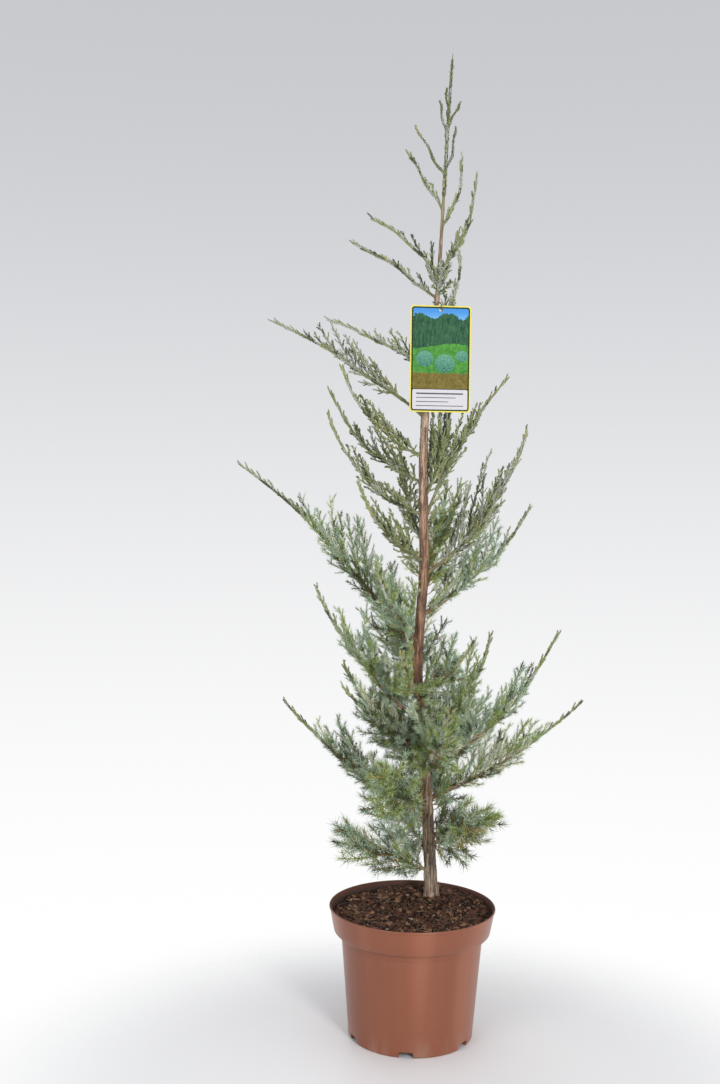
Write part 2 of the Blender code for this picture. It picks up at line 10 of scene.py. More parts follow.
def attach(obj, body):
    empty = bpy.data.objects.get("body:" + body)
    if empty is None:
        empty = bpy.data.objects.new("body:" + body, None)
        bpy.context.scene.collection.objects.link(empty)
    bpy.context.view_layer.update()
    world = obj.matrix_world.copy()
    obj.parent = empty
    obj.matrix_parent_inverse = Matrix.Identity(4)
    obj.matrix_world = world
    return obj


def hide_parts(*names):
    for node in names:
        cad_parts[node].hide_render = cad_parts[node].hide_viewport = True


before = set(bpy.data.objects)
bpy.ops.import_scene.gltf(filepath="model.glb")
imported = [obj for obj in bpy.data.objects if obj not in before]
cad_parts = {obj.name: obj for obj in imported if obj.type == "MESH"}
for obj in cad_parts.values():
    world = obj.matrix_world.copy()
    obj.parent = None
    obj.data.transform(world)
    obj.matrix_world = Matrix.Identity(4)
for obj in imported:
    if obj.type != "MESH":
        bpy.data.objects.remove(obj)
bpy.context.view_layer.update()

mm = 0.001
body = "root"
up = np.array([0.0, 0.0, 1.0])


# Camera, floor and light

camera = {
    "place": (-0.0771, -1.6887, 0.7184),
    "down": math.radians(2.087),
    "turned": math.radians(0.87),
    "lens": 42.4,
    "sensor": 36.0,
}
studio = {
    "floorRadius": 3.0,
    "floorColour": (0.84, 0.84, 0.84, 1),
    "floorMiddle": -0.18,
    "fadeFrom": 0.30,
    "fadeTo": 0.62,
    "lowGlow": (1.00, 1.00, 1.00, 1),
    "highGlow": (0.570, 0.580, 0.612, 1),
    "glowSpan": (-0.35, 0.40),
}
lamps = [  # name, place, aims at, width, height, watts, colour
    ("keyRight", (0.80, -2.00, 1.10), (0.0, 0.0, 0.50), 0.45, 0.70, 25, (1.0, 0.985, 0.96)),
    ("fillLeft", (-1.35, -1.65, 0.95), (0.0, 0.0, 0.45), 0.8, 1.4, 8, (0.97, 0.985, 1.0)),
    ("topSoft", (0.10, -0.35, 2.45), (0.0, 0.0, 0.40), 1.3, 1.0, 6, (1.0, 1.0, 1.0)),
    ("backSoft", (-0.6, 1.7, 1.7), (0.0, 0.0, 0.6), 1.2, 1.2, 6, (1.0, 1.0, 1.0)),
]


def deselectAll():
    if bpy.context.mode != "OBJECT":
        bpy.ops.object.mode_set(mode="OBJECT")
    bpy.ops.object.select_all(action="DESELECT")


def pickOnly(obj):
    deselectAll()
    obj.select_set(True)
    bpy.context.view_layer.objects.active = obj


def placeCamera():
    bpy.ops.object.camera_add(location=camera["place"])
    made = bpy.context.object
    made.name = "photoCamera"
    level = Matrix.Rotation(math.pi / 2 - camera["down"], 4, "X")
    roll = Matrix.Rotation(camera["turned"], 4, "Z")
    made.matrix_world = Matrix.Translation(camera["place"]) @ level @ roll
    made.data.lens = camera["lens"]
    made.data.sensor_width = camera["sensor"]
    made.data.clip_end = 60
    bpy.context.scene.camera = made


def hangLamps():
    for name, place, aim, width, height, watts, colour in lamps:
        bpy.ops.object.light_add(type="AREA", location=place)
        lamp = bpy.context.object
        lamp.name = name
        lamp.data.shape = "RECTANGLE"
        lamp.data.size = width
        lamp.data.size_y = height
        lamp.data.energy = watts
        lamp.data.color = colour
        lamp.rotation_euler = (Vector(aim) - Vector(place)).to_track_quat("-Z", "Y").to_euler()


placeCamera()
hangLamps()
bpy.context.scene.view_settings.view_transform = "Standard"
print("camera and lamps are up")


# Shader maths: a wire is one socket, and an expression on wires adds its nodes

class Wire:
    def __init__(self, tree, socket=None):
        self.tree = tree
        self.socket = socket

    def node(self, kind, settings=None, sockets=None, output=0):
        made = self.tree.nodes.new(kind)
        for name, value in (settings or {}).items():
            setattr(made, name, value)
        for name, value in (sockets or {}).items():
            if isinstance(value, Wire):
                self.tree.links.new(value.socket, made.inputs[name])
            else:
                made.inputs[name].default_value = value
        return Wire(self.tree, made.outputs[output])

    def maths(self, operation, first, second=0.0, clamp=False):
        settings = {"operation": operation, "use_clamp": clamp}
        return self.node("ShaderNodeMath", settings, {0: first, 1: second})

    def __add__(self, other):
        return self.maths("ADD", self, other)

    __radd__ = __add__

    def __sub__(self, other):
        return self.maths("SUBTRACT", self, other)

    def __rsub__(self, other):
        return self.maths("SUBTRACT", other, self)

    def __mul__(self, other):
        return self.maths("MULTIPLY", self, other)

    __rmul__ = __mul__

    def __truediv__(self, other):
        return self.maths("DIVIDE", self, other)

    def __pow__(self, other):
        return self.maths("POWER", self, other)

    def __gt__(self, other):
        return self.maths("GREATER_THAN", self, other)

    def __lt__(self, other):
        return self.maths("LESS_THAN", self, other)

    def clamped(self):
        return self.maths("ADD", self, 0.0, clamp=True)

    def sine(self):
        return self.maths("SINE", self)

    def within(self, low, high):
        # 0 at low, 1 at high, smooth between
        settings = {"interpolation_type": "SMOOTHSTEP"}
        return self.node("ShaderNodeMapRange", settings, {0: self, 1: low, 2: high})

    def between(self, first, second, mode="MIX"):
        # this wire is the mask: first where it is 0, second where it is 1
        settings = {"data_type": "RGBA", "blend_type": mode}
        return self.node("ShaderNodeMix", settings, {0: self, 6: first, 7: second}, output=2)

    def parts(self):
        made = self.tree.nodes.new("ShaderNodeSeparateXYZ")
        self.tree.links.new(self.socket, made.inputs[0])
        return [Wire(self.tree, made.outputs[k]) for k in range(3)]

    def grain(self, scale, detail=3.0, roughness=0.55):
        sockets = {"Vector": self, "Scale": scale, "Detail": detail, "Roughness": roughness}
        return self.node("ShaderNodeTexNoise", None, sockets)

    def stretched(self, scale, place=(0, 0, 0)):
        return self.node("ShaderNodeMapping", None, {"Vector": self, "Scale": scale, "Location": place})


def newMaterial(name):
    material = bpy.data.materials.new(name)
    material.use_nodes = True
    tree = material.node_tree
    shader = tree.nodes["Principled BSDF"]
    place = Wire(tree).node("ShaderNodeTexCoord", output=3)
    return material, shader, place


def wireUp(shader, name, value):
    # a wire or a plain value for one of the shader's sockets
    if isinstance(value, Wire):
        shader.id_data.links.new(value.socket, shader.inputs[name])
    else:
        shader.inputs[name].default_value = value


def roughen(shader, height, strength, distance):
    sockets = {"Height": height, "Strength": strength, "Distance": distance}
    wireUp(shader, "Normal", height.node("ShaderNodeBump", None, sockets))


def paint(obj, material):
    obj.data.materials.clear()
    obj.data.materials.append(material)


def addPiece(obj, name, materialSlot, material, *nodes):
    obj.name = name
    obj.data.name = name
    paint(obj, material)
    if nodes:
        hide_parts(*nodes)
    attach(obj, body)


def meshFromArrays(name, verts, faces):
    mesh = bpy.data.meshes.new(name)
    mesh.vertices.add(len(verts))
    mesh.vertices.foreach_set("co", np.asarray(verts, np.float32).ravel())
    mesh.loops.add(faces.size)
    mesh.loops.foreach_set("vertex_index", np.asarray(faces, np.int32).ravel())
    mesh.polygons.add(len(faces))
    mesh.polygons.foreach_set("loop_start", np.arange(0, faces.size, 3, dtype=np.int32))
    mesh.update(calc_edges=True)
    mesh.validate()
    made = bpy.data.objects.new(name, mesh)
    bpy.context.scene.collection.objects.link(made)
    return made


def applyAll(obj):
    pickOnly(obj)
    for modifier in list(obj.modifiers):
        bpy.ops.object.modifier_apply(modifier=modifier.name)


def smoothByAngle(obj, degrees):
    pickOnly(obj)
    bpy.ops.object.shade_smooth_by_angle(angle=math.radians(degrees))


def cutAway(obj, cutter):
    cut = obj.modifiers.new("cut", "BOOLEAN")
    cut.operation = "DIFFERENCE"
    cut.solver = "EXACT"
    cut.object = cutter
    applyAll(obj)


def enterEdit(kind="FACE", action="SELECT"):
    bpy.ops.object.mode_set(mode="EDIT")
    bpy.ops.mesh.select_mode(type=kind)
    bpy.ops.mesh.select_all(action=action)


def closeShape():
    # every face turned outwards, and back to object mode
    bpy.ops.mesh.select_all(action="SELECT")
    bpy.ops.mesh.normals_make_consistent(inside=False)
    bpy.ops.object.mode_set(mode="OBJECT")


def layFloor():
    # a pale disc that melts into the backdrop away from the pot
    deselectAll()
    bpy.ops.mesh.primitive_circle_add(vertices=96, radius=studio["floorRadius"], fill_type="NGON")
    floor = bpy.context.object
    floor.name = "studioFloor"
    material, shader, place = newMaterial("floorPaper")
    x, y = place.parts()[:2]
    forward = y - studio["floorMiddle"]
    away = (x * x + forward * forward) ** 0.5
    wireUp(shader, "Base Color", studio["floorColour"])
    wireUp(shader, "Roughness", 0.50)
    wireUp(shader, "Alpha", 1.0 - away.within(studio["fadeFrom"], studio["fadeTo"]))
    paint(floor, material)


def lightBackdrop():
    # one plain backdrop all round, paler towards the floor
    world = bpy.context.scene.world or bpy.data.worlds.new("studioWorld")
    bpy.context.scene.world = world
    world.use_nodes = True
    tree = world.node_tree
    way = Wire(tree).node("ShaderNodeTexCoord", output=0)
    glow = way.parts()[2].within(*studio["glowSpan"]).between(studio["lowGlow"], studio["highGlow"])
    tree.links.new(glow.socket, tree.nodes["Background"].inputs["Color"])


layFloor()
lightBackdrop()
print("floor and backdrop are up")


# Pot

pot = {
    "steps": 128,
    "outer": [
        (0.0828, 0.0020), (0.0866, 0.0470), (0.0914, 0.1030), (0.0936, 0.1275),
        (0.0934, 0.1284), (0.0940, 0.1293), (0.0945, 0.1368), (0.0950, 0.1380),
        (0.1031, 0.1395), (0.1041, 0.1408), (0.1062, 0.1510), (0.1096, 0.1690),
        (0.1107, 0.1703), (0.1108, 0.1716), (0.1102, 0.1726),
    ],
    "inner": [
        (0.1090, 0.1725), (0.1081, 0.1705), (0.1022, 0.1425), (0.0932, 0.1405),
        (0.0811, 0.0045), (0.0795, 0.0022),
    ],
    "foot": 0.0814,
    "innerCone": (0.1031, 0.1402, 0.224),  # the inner wall's radius, at what height, and its slope
    # above this height the inner wall is darkened: painted shade with soil stain
    "paintedShadeAndStainFrom": 0.145,
    "notches": 6,
    "notchTurn": math.radians(-6),
    "notchReach": 0.0822,
    "notchSize": (0.030, 0.019, 0.016),
    "notchRound": 0.003,
    "plastic": (0.212, 0.062, 0.028, 1),
    # the paler plastic, used both for the random tone and for the painted highlight bands
    "paleAndPaintedHighlight": (0.310, 0.105, 0.054, 1),
    "dust": (0.44, 0.32, 0.25, 1),
    # painted shade and soil stain on the inner wall
    "paintedShadeAndStain": (0.040, 0.023, 0.018, 1),
}


def potPlastic():
    material, shader, place = newMaterial("terracottaPlastic")
    x, y, z = place.parts()
    away = (x * x + y * y) ** 0.5
    cloud = place.grain(9.0, 3.0, 0.5)
    fine = place.grain(160.0, 4.0, 0.6)
    flow = place.stretched((60, 60, 3)).grain(1.0, 4.0, 0.55)
    # the tone varies at random, and the vertical paler bands are a painted highlight
    paintedHighlightBands = place.stretched((19, 19, 1.2)).grain(1.0, 1.0, 0.4)
    tone = (cloud * 0.45 + (flow - 0.5) * 0.30 + paintedHighlightBands.within(0.42, 0.66) * 0.60).clamped()
    plastic = tone.between(pot["plastic"], pot["paleAndPaintedHighlight"])
    streaks = place.stretched((26, 26, 5)).grain(1.0, 5.0, 0.7)
    lowDust = (1.0 - z.within(0.0, 0.035)) * streaks.within(0.42, 0.70)
    specks = place.grain(420.0, 2.0, 0.6).within(0.70, 0.76) * 0.5
    dusty = (lowDust * 0.40 + specks * 0.6).clamped()
    # the inner wall above the soil is darkened, more so lower down: painted shade with soil stain
    radius, height, slope = pot["innerCone"]
    inside = (away < (z - height) * slope + radius) * (z > pot["paintedShadeAndStainFrom"])
    paintedShadeAndStained = inside * (0.62 + (1.0 - z.within(0.163, 0.172)) * 0.34)
    coloured = dusty.between(plastic, pot["dust"])
    wireUp(shader, "Base Color", paintedShadeAndStained.between(coloured, pot["paintedShadeAndStain"]))
    wireUp(shader, "Roughness", 0.26 + fine * 0.05 + cloud * 0.08 + dusty * 0.25 + inside * 0.4)
    roughen(shader, fine * 0.12 + flow * 0.9, 0.12, 0.0006)
    return material


def modelPot():
    deselectAll()
    radius, height = pot["foot"], 0.0
    bpy.ops.mesh.primitive_circle_add(vertices=pot["steps"], radius=radius, fill_type="NGON")
    made = bpy.context.object
    enterEdit()
    for nextRadius, nextHeight in pot["outer"] + pot["inner"]:
        rise = {"value": (0, 0, nextHeight - height)}
        bpy.ops.mesh.extrude_region_move(TRANSFORM_OT_translate=rise)
        grow = nextRadius / radius
        bpy.ops.transform.resize(value=(grow, grow, 1), center_override=(0, 0, nextHeight))
        radius, height = nextRadius, nextHeight
    closeShape()
    for k in range(pot["notches"]):
        cutNotch(made, pot["notchTurn"] - math.pi / 2 + math.tau * k / pot["notches"])
    smoothByAngle(made, 28)
    addPiece(made, "potShell", "pot_plastic", potPlastic(), "pot")


def cutNotch(shell, angle):
    deselectAll()
    centre = (pot["notchReach"] * math.cos(angle), pot["notchReach"] * math.sin(angle), 0)
    bpy.ops.mesh.primitive_cube_add(size=1, location=centre, rotation=(0, 0, angle))
    cutter = bpy.context.object
    cutter.scale = pot["notchSize"]
    bpy.ops.object.transform_apply(location=False, rotation=False, scale=True)
    soften = cutter.modifiers.new("soften", "BEVEL")
    soften.width = pot["notchRound"]
    soften.segments = 4
    applyAll(cutter)
    cutAway(shell, cutter)
    bpy.data.objects.remove(cutter)


modelPot()
print("pot turned")


# Trunk line, shared by all that grows on it

trunkStations = [  # height, sideways, backward, diameter
    (0.1700, 0.0285, 0.049, 0.0166),
    (0.208, 0.0263, 0.048, 0.0162),
    (0.335, 0.0172, 0.045, 0.0150),
    (0.480, 0.0042, 0.041, 0.0138),
    (0.625, 0.0100, 0.040, 0.0126),
    (0.760, 0.0068, 0.040, 0.0114),
    (0.870, 0.0108, 0.040, 0.0092),
    (0.983, 0.0214, 0.040, 0.0064),
    (1.116, 0.0280, 0.040, 0.0038),
    (1.236, 0.0332, 0.040, 0.0027),
    (1.311, 0.0371, 0.040, 0.0010),
]


def smoothThrough(rows, steps):
    rows = [np.array(row, float) for row in rows]
    ends = [2 * rows[0] - rows[1], *rows, 2 * rows[-1] - rows[-2]]
    found = []
    for a, b, c, d in zip(ends, ends[1:], ends[2:], ends[3:]):
        for k in range(steps):
            t = k / steps
            bend = 2 * a - 5 * b + 4 * c - d
            twist = 3 * b - a - 3 * c + d
            found.append(b + 0.5 * t * ((c - a) + t * (bend + t * twist)))
    return np.array(found + [rows[-1]])


def eased(share):
    # from 0 to 1, slow at both ends
    share = min(1.0, max(0.0, share))
    return share * share * (3 - 2 * share)


trunkRows = smoothThrough(trunkStations, 8)


def trunkAt(height):
    x, y, diameter = (np.interp(height, trunkRows[:, 0], trunkRows[:, k]) for k in (1, 2, 3))
    return np.array([x, y, height], float), float(diameter) / 2


# Soil

soil = {
    "edgeHeight": 0.1625,
    "seatHeight": 0.1701,
    "edgeRadius": 0.1061,
    "seatRadius": 0.026,
    "slopeRadius": 0.080,
    "cuts": 34,
    "lump": 1.0 * mm,
    "sunk": 0.6 * mm,  # the bed lies this much lower, so that the chips rest in it
    "levelEdge": 0.004,
    "depth": 0.022,
    "narrow": 0.955,  # the share of its width that is left at that depth
    "bed": ((0.013, 0.008, 0.006, 1), (0.080, 0.043, 0.029, 1)),
    "chips": 3000,
    "chipMargin": 0.0045,
    "chipTilt": 0.42,
    "chipLift": 0.35 * mm,
    "fibres": 260,
    "fibreMargin": 0.016,
    "fibre": ((0.10, 0.065, 0.042, 1), (0.36, 0.255, 0.170, 1)),
    "trunkRoom": 0.0125,
}


def fromTrunk(x, y):
    return math.hypot(x - trunkStations[0][1], y - trunkStations[0][2])


def soilHeight(x, y):
    fall = eased((fromTrunk(x, y) - soil["seatRadius"]) / soil["slopeRadius"])
    waves = 1.2 * mm * math.sin(95 * x + 40 * y) * math.cos(70 * y - 30 * x)
    return soil["seatHeight"] + (soil["edgeHeight"] - soil["seatHeight"] + waves) * fall


def soilMaterial(name, dark, light, scale):
    material, shader, place = newMaterial(name)
    lumps = place.grain(scale, 6.0, 0.65)
    crumbs = place.grain(scale * 4.5, 4.0, 0.7)
    tone = (lumps * 0.8 + crumbs * 0.6 - 0.30).clamped()
    wireUp(shader, "Specular IOR Level", 0.15)
    wireUp(shader, "Base Color", tone.between(dark, light))
    wireUp(shader, "Roughness", 0.80 + crumbs * 0.18)
    roughen(shader, lumps + crumbs * 0.5, 0.7, 0.0012)
    return material


def modelSoil():
    deselectAll()
    edge = soil["edgeRadius"]
    bpy.ops.mesh.primitive_circle_add(vertices=96, radius=edge, fill_type="TRIFAN")
    made = bpy.context.object
    enterEdit()
    bpy.ops.mesh.subdivide(number_cuts=soil["cuts"])
    bpy.ops.object.mode_set(mode="OBJECT")
    for vert in made.data.vertices:
        x, y = vert.co.x, vert.co.y
        rough = noise.noise(Vector((x * 190, y * 190, 3)))
        rough += 0.6 * noise.noise(Vector((x * 480, y * 480, 9)))
        inner = min(1.0, (edge - math.hypot(x, y)) / soil["levelEdge"])
        vert.co.z = soilHeight(x, y) + soil["lump"] * rough * inner - soil["sunk"]
    enterEdit("EDGE", "DESELECT")
    bpy.ops.mesh.select_non_manifold()
    bpy.ops.mesh.extrude_edges_move(TRANSFORM_OT_translate={"value": (0, 0, -soil["depth"])})
    narrow = (soil["narrow"], soil["narrow"], 1)
    bpy.ops.transform.resize(value=narrow, center_override=(0, 0, soil["edgeHeight"]))
    bpy.ops.mesh.fill()
    closeShape()
    smoothByAngle(made, 40)
    addPiece(made, "pottingMix", "potting_mix", soilMaterial("darkPeat", *soil["bed"], 220), "root_ball")


chipKinds = [  # name, share, longest, dark and light colour
    ("barkChipsDark", 0.42, 0.0115, (0.014, 0.008, 0.006, 1), (0.072, 0.036, 0.025, 1)),
    ("barkChipsBrown", 0.34, 0.0150, (0.046, 0.022, 0.015, 1), (0.185, 0.088, 0.057, 1)),
    ("barkChipsTan", 0.15, 0.0125, (0.150, 0.072, 0.040, 1), (0.430, 0.240, 0.140, 1)),
    ("barkChipsPale", 0.06, 0.0075, (0.270, 0.205, 0.155, 1), (0.600, 0.490, 0.390, 1)),
    ("mossBits", 0.03, 0.0060, (0.035, 0.060, 0.020, 1), (0.130, 0.215, 0.070, 1)),
]
chipFaces = np.array([
    (0, 2, 1), (1, 2, 3), (4, 5, 6), (5, 7, 6), (0, 1, 4), (1, 5, 4),
    (2, 6, 3), (3, 6, 7), (0, 4, 2), (2, 4, 6), (1, 3, 5), (3, 7, 5),
])


def turnMatrices(rng, count, tilt):
    spin = rng.uniform(0, math.tau, count)
    lean = rng.normal(0, tilt, count)
    way = rng.uniform(0, math.tau, count)
    found = np.empty((count, 3, 3))
    for k in range(count):
        leaning = Matrix.Rotation(way[k], 3, "Z") @ Matrix.Rotation(lean[k], 3, "X")
        found[k] = leaning @ Matrix.Rotation(spin[k], 3, "Z")
    return found


def chipSpots(rng, count, margin):
    # even over the soil, off the trunk
    found = []
    while len(found) < count:
        r = (soil["edgeRadius"] - margin) * math.sqrt(rng.random())
        a = rng.uniform(0, math.tau)
        x, y = r * math.cos(a), r * math.sin(a)
        if fromTrunk(x, y) > soil["trunkRoom"]:
            found.append((x, y, soilHeight(x, y)))
    return np.array(found)


def scatterChips():
    rng = np.random.default_rng(11)
    box = np.array([(x, y, z) for z in (-0.5, 0.5) for y in (-0.5, 0.5) for x in (-0.5, 0.5)])
    for name, share, longest, dark, light in chipKinds:
        count = round(soil["chips"] * share)
        spots = chipSpots(rng, count, soil["chipMargin"])
        length = longest * (0.24 + 0.76 * rng.uniform(0, 1, count) ** 2.0)
        width = length * rng.uniform(0.30, 0.75, count)
        height = length * rng.uniform(0.12, 0.40, count)
        sizes = np.stack([length, width, height], 1)
        shape = box[None] * sizes[:, None] * rng.uniform(0.55, 1.0, (count, 8, 3))
        turned = np.einsum("nij,nvj->nvi", turnMatrices(rng, count, soil["chipTilt"]), shape)
        verts = turned + spots[:, None] + up * soil["chipLift"]
        faces = chipFaces[None] + 8 * np.arange(count)[:, None, None]
        made = meshFromArrays(name, verts.reshape(-1, 3), faces.reshape(-1, 3))
        addPiece(made, name, "potting_mix", soilMaterial(name + "Look", dark, light, 380))


def layFibres():
    # thin roots and straws that lie on the soil
    rng = np.random.default_rng(17)
    straws = Tubes()
    for spot in chipSpots(rng, soil["fibres"], soil["fibreMargin"]):
        way = rng.uniform(0, math.tau)
        length = rng.uniform(5, 19) * mm
        u = np.linspace(-0.5, 0.5, 6)[:, None]
        along = np.array([math.cos(way), math.sin(way), rng.normal(0, 0.10)])
        across = np.array([-math.sin(way), math.cos(way), 0])
        line = spot + along * length * u + across * rng.normal(0, 0.35) * length * u**2
        line[:, 2] = [soilHeight(x, y) + rng.uniform(0.9, 2.2) * mm for x, y in line[:, :2]]
        straws.add(line, rng.uniform(0.25, 0.55) * mm * np.linspace(1, 0.5, 6), 4)
    look = soilMaterial("rootFibresLook", *soil["fibre"], 300)
    addPiece(straws.joined("rootFibres"), "rootFibres", "potting_mix", look)


# Limbs: the same rows and rule as the solids, grown finer

# the root is a height on the trunk, bow and bare are shares of the limb, girth is in mm,
# and young runs from 0, scale leaves alone, to 1, needles alone
limbFields = ("side", "number", "root", "tip", "bow", "bare", "spread", "twigs", "girth", "young")
limbRows = [
    ("leader", 1, 1.149, (-0.011, 0.030, 1.210), 0.02, 0, 0, 0, 1.3, 0),
    ("leader", 2, 1.156, (0.044, 0.060, 1.218), 0.08, 0, 0, 0, 1.3, 0),
    ("leader", 3, 1.102, (-0.021, 0.050, 1.181), 0.0, 0, 0.042, 2, 1.5, 0),
    ("leader", 4, 1.081, (0.050, 0.020, 1.168), 0.12, 0, 0.024, 5, 1.5, 0),
    ("leader", 5, 1.195, (0.020, 0.020, 1.240), 0.0, 0, 0, 0, 1.2, 0),
    ("leader", 6, 1.213, (0.049, 0.050, 1.249), 0.0, 0, 0, 0, 1.1, 0),
    ("leader", 7, 1.224, (0.031, 0.056, 1.269), 0.05, 0, 0, 0, 1.1, 0),
    ("left", 1, 1.012, (-0.069, 0.000, 1.081), -0.08, 0, 0.030, 6, 1.7, 0),
    ("left", 2, 0.984, (-0.094, 0.090, 1.067), -0.03, 0, 0.030, 6, 1.7, 0),
    ("left", 3, 0.886, (-0.123, -0.020, 0.945), -0.04, 0, 0.034, 6, 1.8, 0),
    ("left", 4, 0.824, (-0.203, 0.080, 0.957), -0.03, 0.14, 0.060, 11, 2.3, 0.1),
    ("left", 5, 0.774, (-0.104, -0.040, 0.883), 0.12, 0, 0.052, 6, 1.8, 0.1),
    ("left", 6, 0.737, (-0.125, 0.130, 0.868), 0.10, 0, 0.056, 7, 1.9, 0.1),
    ("left", 7, 0.693, (-0.122, 0.010, 0.828), 0.13, 0, 0.052, 6, 1.9, 0.1),
    ("left", 8, 0.632, (-0.081, -0.060, 0.735), 0.10, 0, 0.054, 7, 1.9, 0.1),
    ("left", 9, 0.496, (-0.247, 0.070, 0.761), -0.05, 0.10, 0.088, 14, 3.0, 0.5),
    ("left", 10, 0.411, (-0.135, -0.020, 0.599), 0.06, 0.14, 0.076, 10, 2.6, 0.6),
    ("left", 11, 0.373, (-0.097, -0.050, 0.471), 0.05, 0, 0.064, 8, 2.2, 0.8),
    ("left", 12, 0.270, (-0.180, 0.080, 0.432), 0.04, 0.14, 0.080, 11, 2.8, 0.8),
    ("left", 13, 0.205, (-0.086, 0.000, 0.272), 0.03, 0, 0.064, 9, 2.3, 1),
    ("right", 1, 0.714, (0.041, 0.050, 0.868), 0.07, 0, 0.056, 10, 1.9, 0.2),
    ("right", 2, 0.680, (0.123, 0.070, 0.882), -0.05, 0.18, 0.044, 8, 2.2, 0.1),
    ("right", 3, 0.611, (0.144, 0.020, 0.808), 0.09, 0.10, 0.076, 10, 2.4, 0.3),
    ("right", 4, 0.556, (0.161, 0.090, 0.706), 0.065, 0.10, 0.076, 10, 2.6, 0.5),
    ("right", 5, 0.455, (0.071, -0.030, 0.526), 0.10, 0, 0.044, 6, 2.1, 0.8),
    ("right", 6, 0.373, (0.110, 0.110, 0.525), 0.10, 0, 0.060, 8, 2.2, 0.6),
    ("right", 7, 0.339, (0.192, 0.020, 0.538), 0.075, 0.13, 0.076, 11, 2.8, 0.6),
    ("right", 8, 0.304, (0.235, 0.080, 0.436), 0.05, 0.13, 0.076, 11, 2.8, 0.7),
    ("right", 9, 0.252, (0.106, -0.010, 0.296), -0.03, 0, 0.068, 8, 2.4, 1),
    ("right", 10, 1.020, (0.075, 0.070, 1.161), 0.10, 0, 0.032, 6, 1.8, 0),
    ("right", 11, 0.922, (0.049, 0.030, 1.044), 0.10, 0, 0.028, 6, 1.6, 0),
    ("front", 1, 0.441, (-0.025, -0.110, 0.526), 0.05, 0, 0.066, 8, 2.3, 0.8),
    ("front", 2, 0.346, (0.040, -0.125, 0.460), 0.05, 0, 0.070, 9, 2.6, 0.8),
    ("front", 3, 0.288, (-0.048, -0.095, 0.368), 0.03, 0, 0.066, 8, 2.4, 1),
    ("front", 4, 0.240, (0.070, -0.075, 0.298), 0.0, 0, 0.062, 7, 2.3, 1),
    ("front", 5, 0.520, (-0.056, -0.080, 0.626), 0.06, 0, 0.060, 7, 2.0, 0.6),
    ("front", 6, 0.988, (0.026, 0.008, 1.020), 0.0, 0, 0.034, 7, 1.5, 0.1),
    ("back", 1, 0.290, (0.070, 0.190, 0.376), 0.03, 0, 0.070, 8, 2.5, 0.9),
    ("back", 2, 0.455, (-0.030, 0.210, 0.590), 0.06, 0.12, 0.074, 9, 2.7, 0.6),
    ("back", 3, 0.578, (0.050, 0.190, 0.740), 0.08, 0.12, 0.070, 9, 2.4, 0.4),
    ("back", 4, 0.655, (-0.024, 0.155, 0.800), 0.10, 0, 0.058, 7, 2.0, 0.2),
    ("back", 5, 0.850, (0.040, 0.140, 1.005), 0.08, 0, 0.036, 6, 1.8, 0),
    ("back", 6, 0.350, (-0.100, 0.170, 0.470), 0.05, 0, 0.070, 8, 2.4, 0.8),
    ("back", 7, 0.236, (-0.050, 0.155, 0.310), 0.03, 0, 0.062, 7, 2.3, 1),
]
limbs = [dict(zip(limbFields, row)) for row in limbRows]
label = {
    "width": 0.0815,
    "height": 0.141,
    "thickness": 0.8 * mm,
    "corner": 0.005,
    "centre": (0.0260, 0.0160, 0.9012),
    "yaw": math.radians(6),
    "roll": math.radians(-0.2),
    "hole": 2.6 * mm,
    "holeDrop": 5.6 * mm,
}
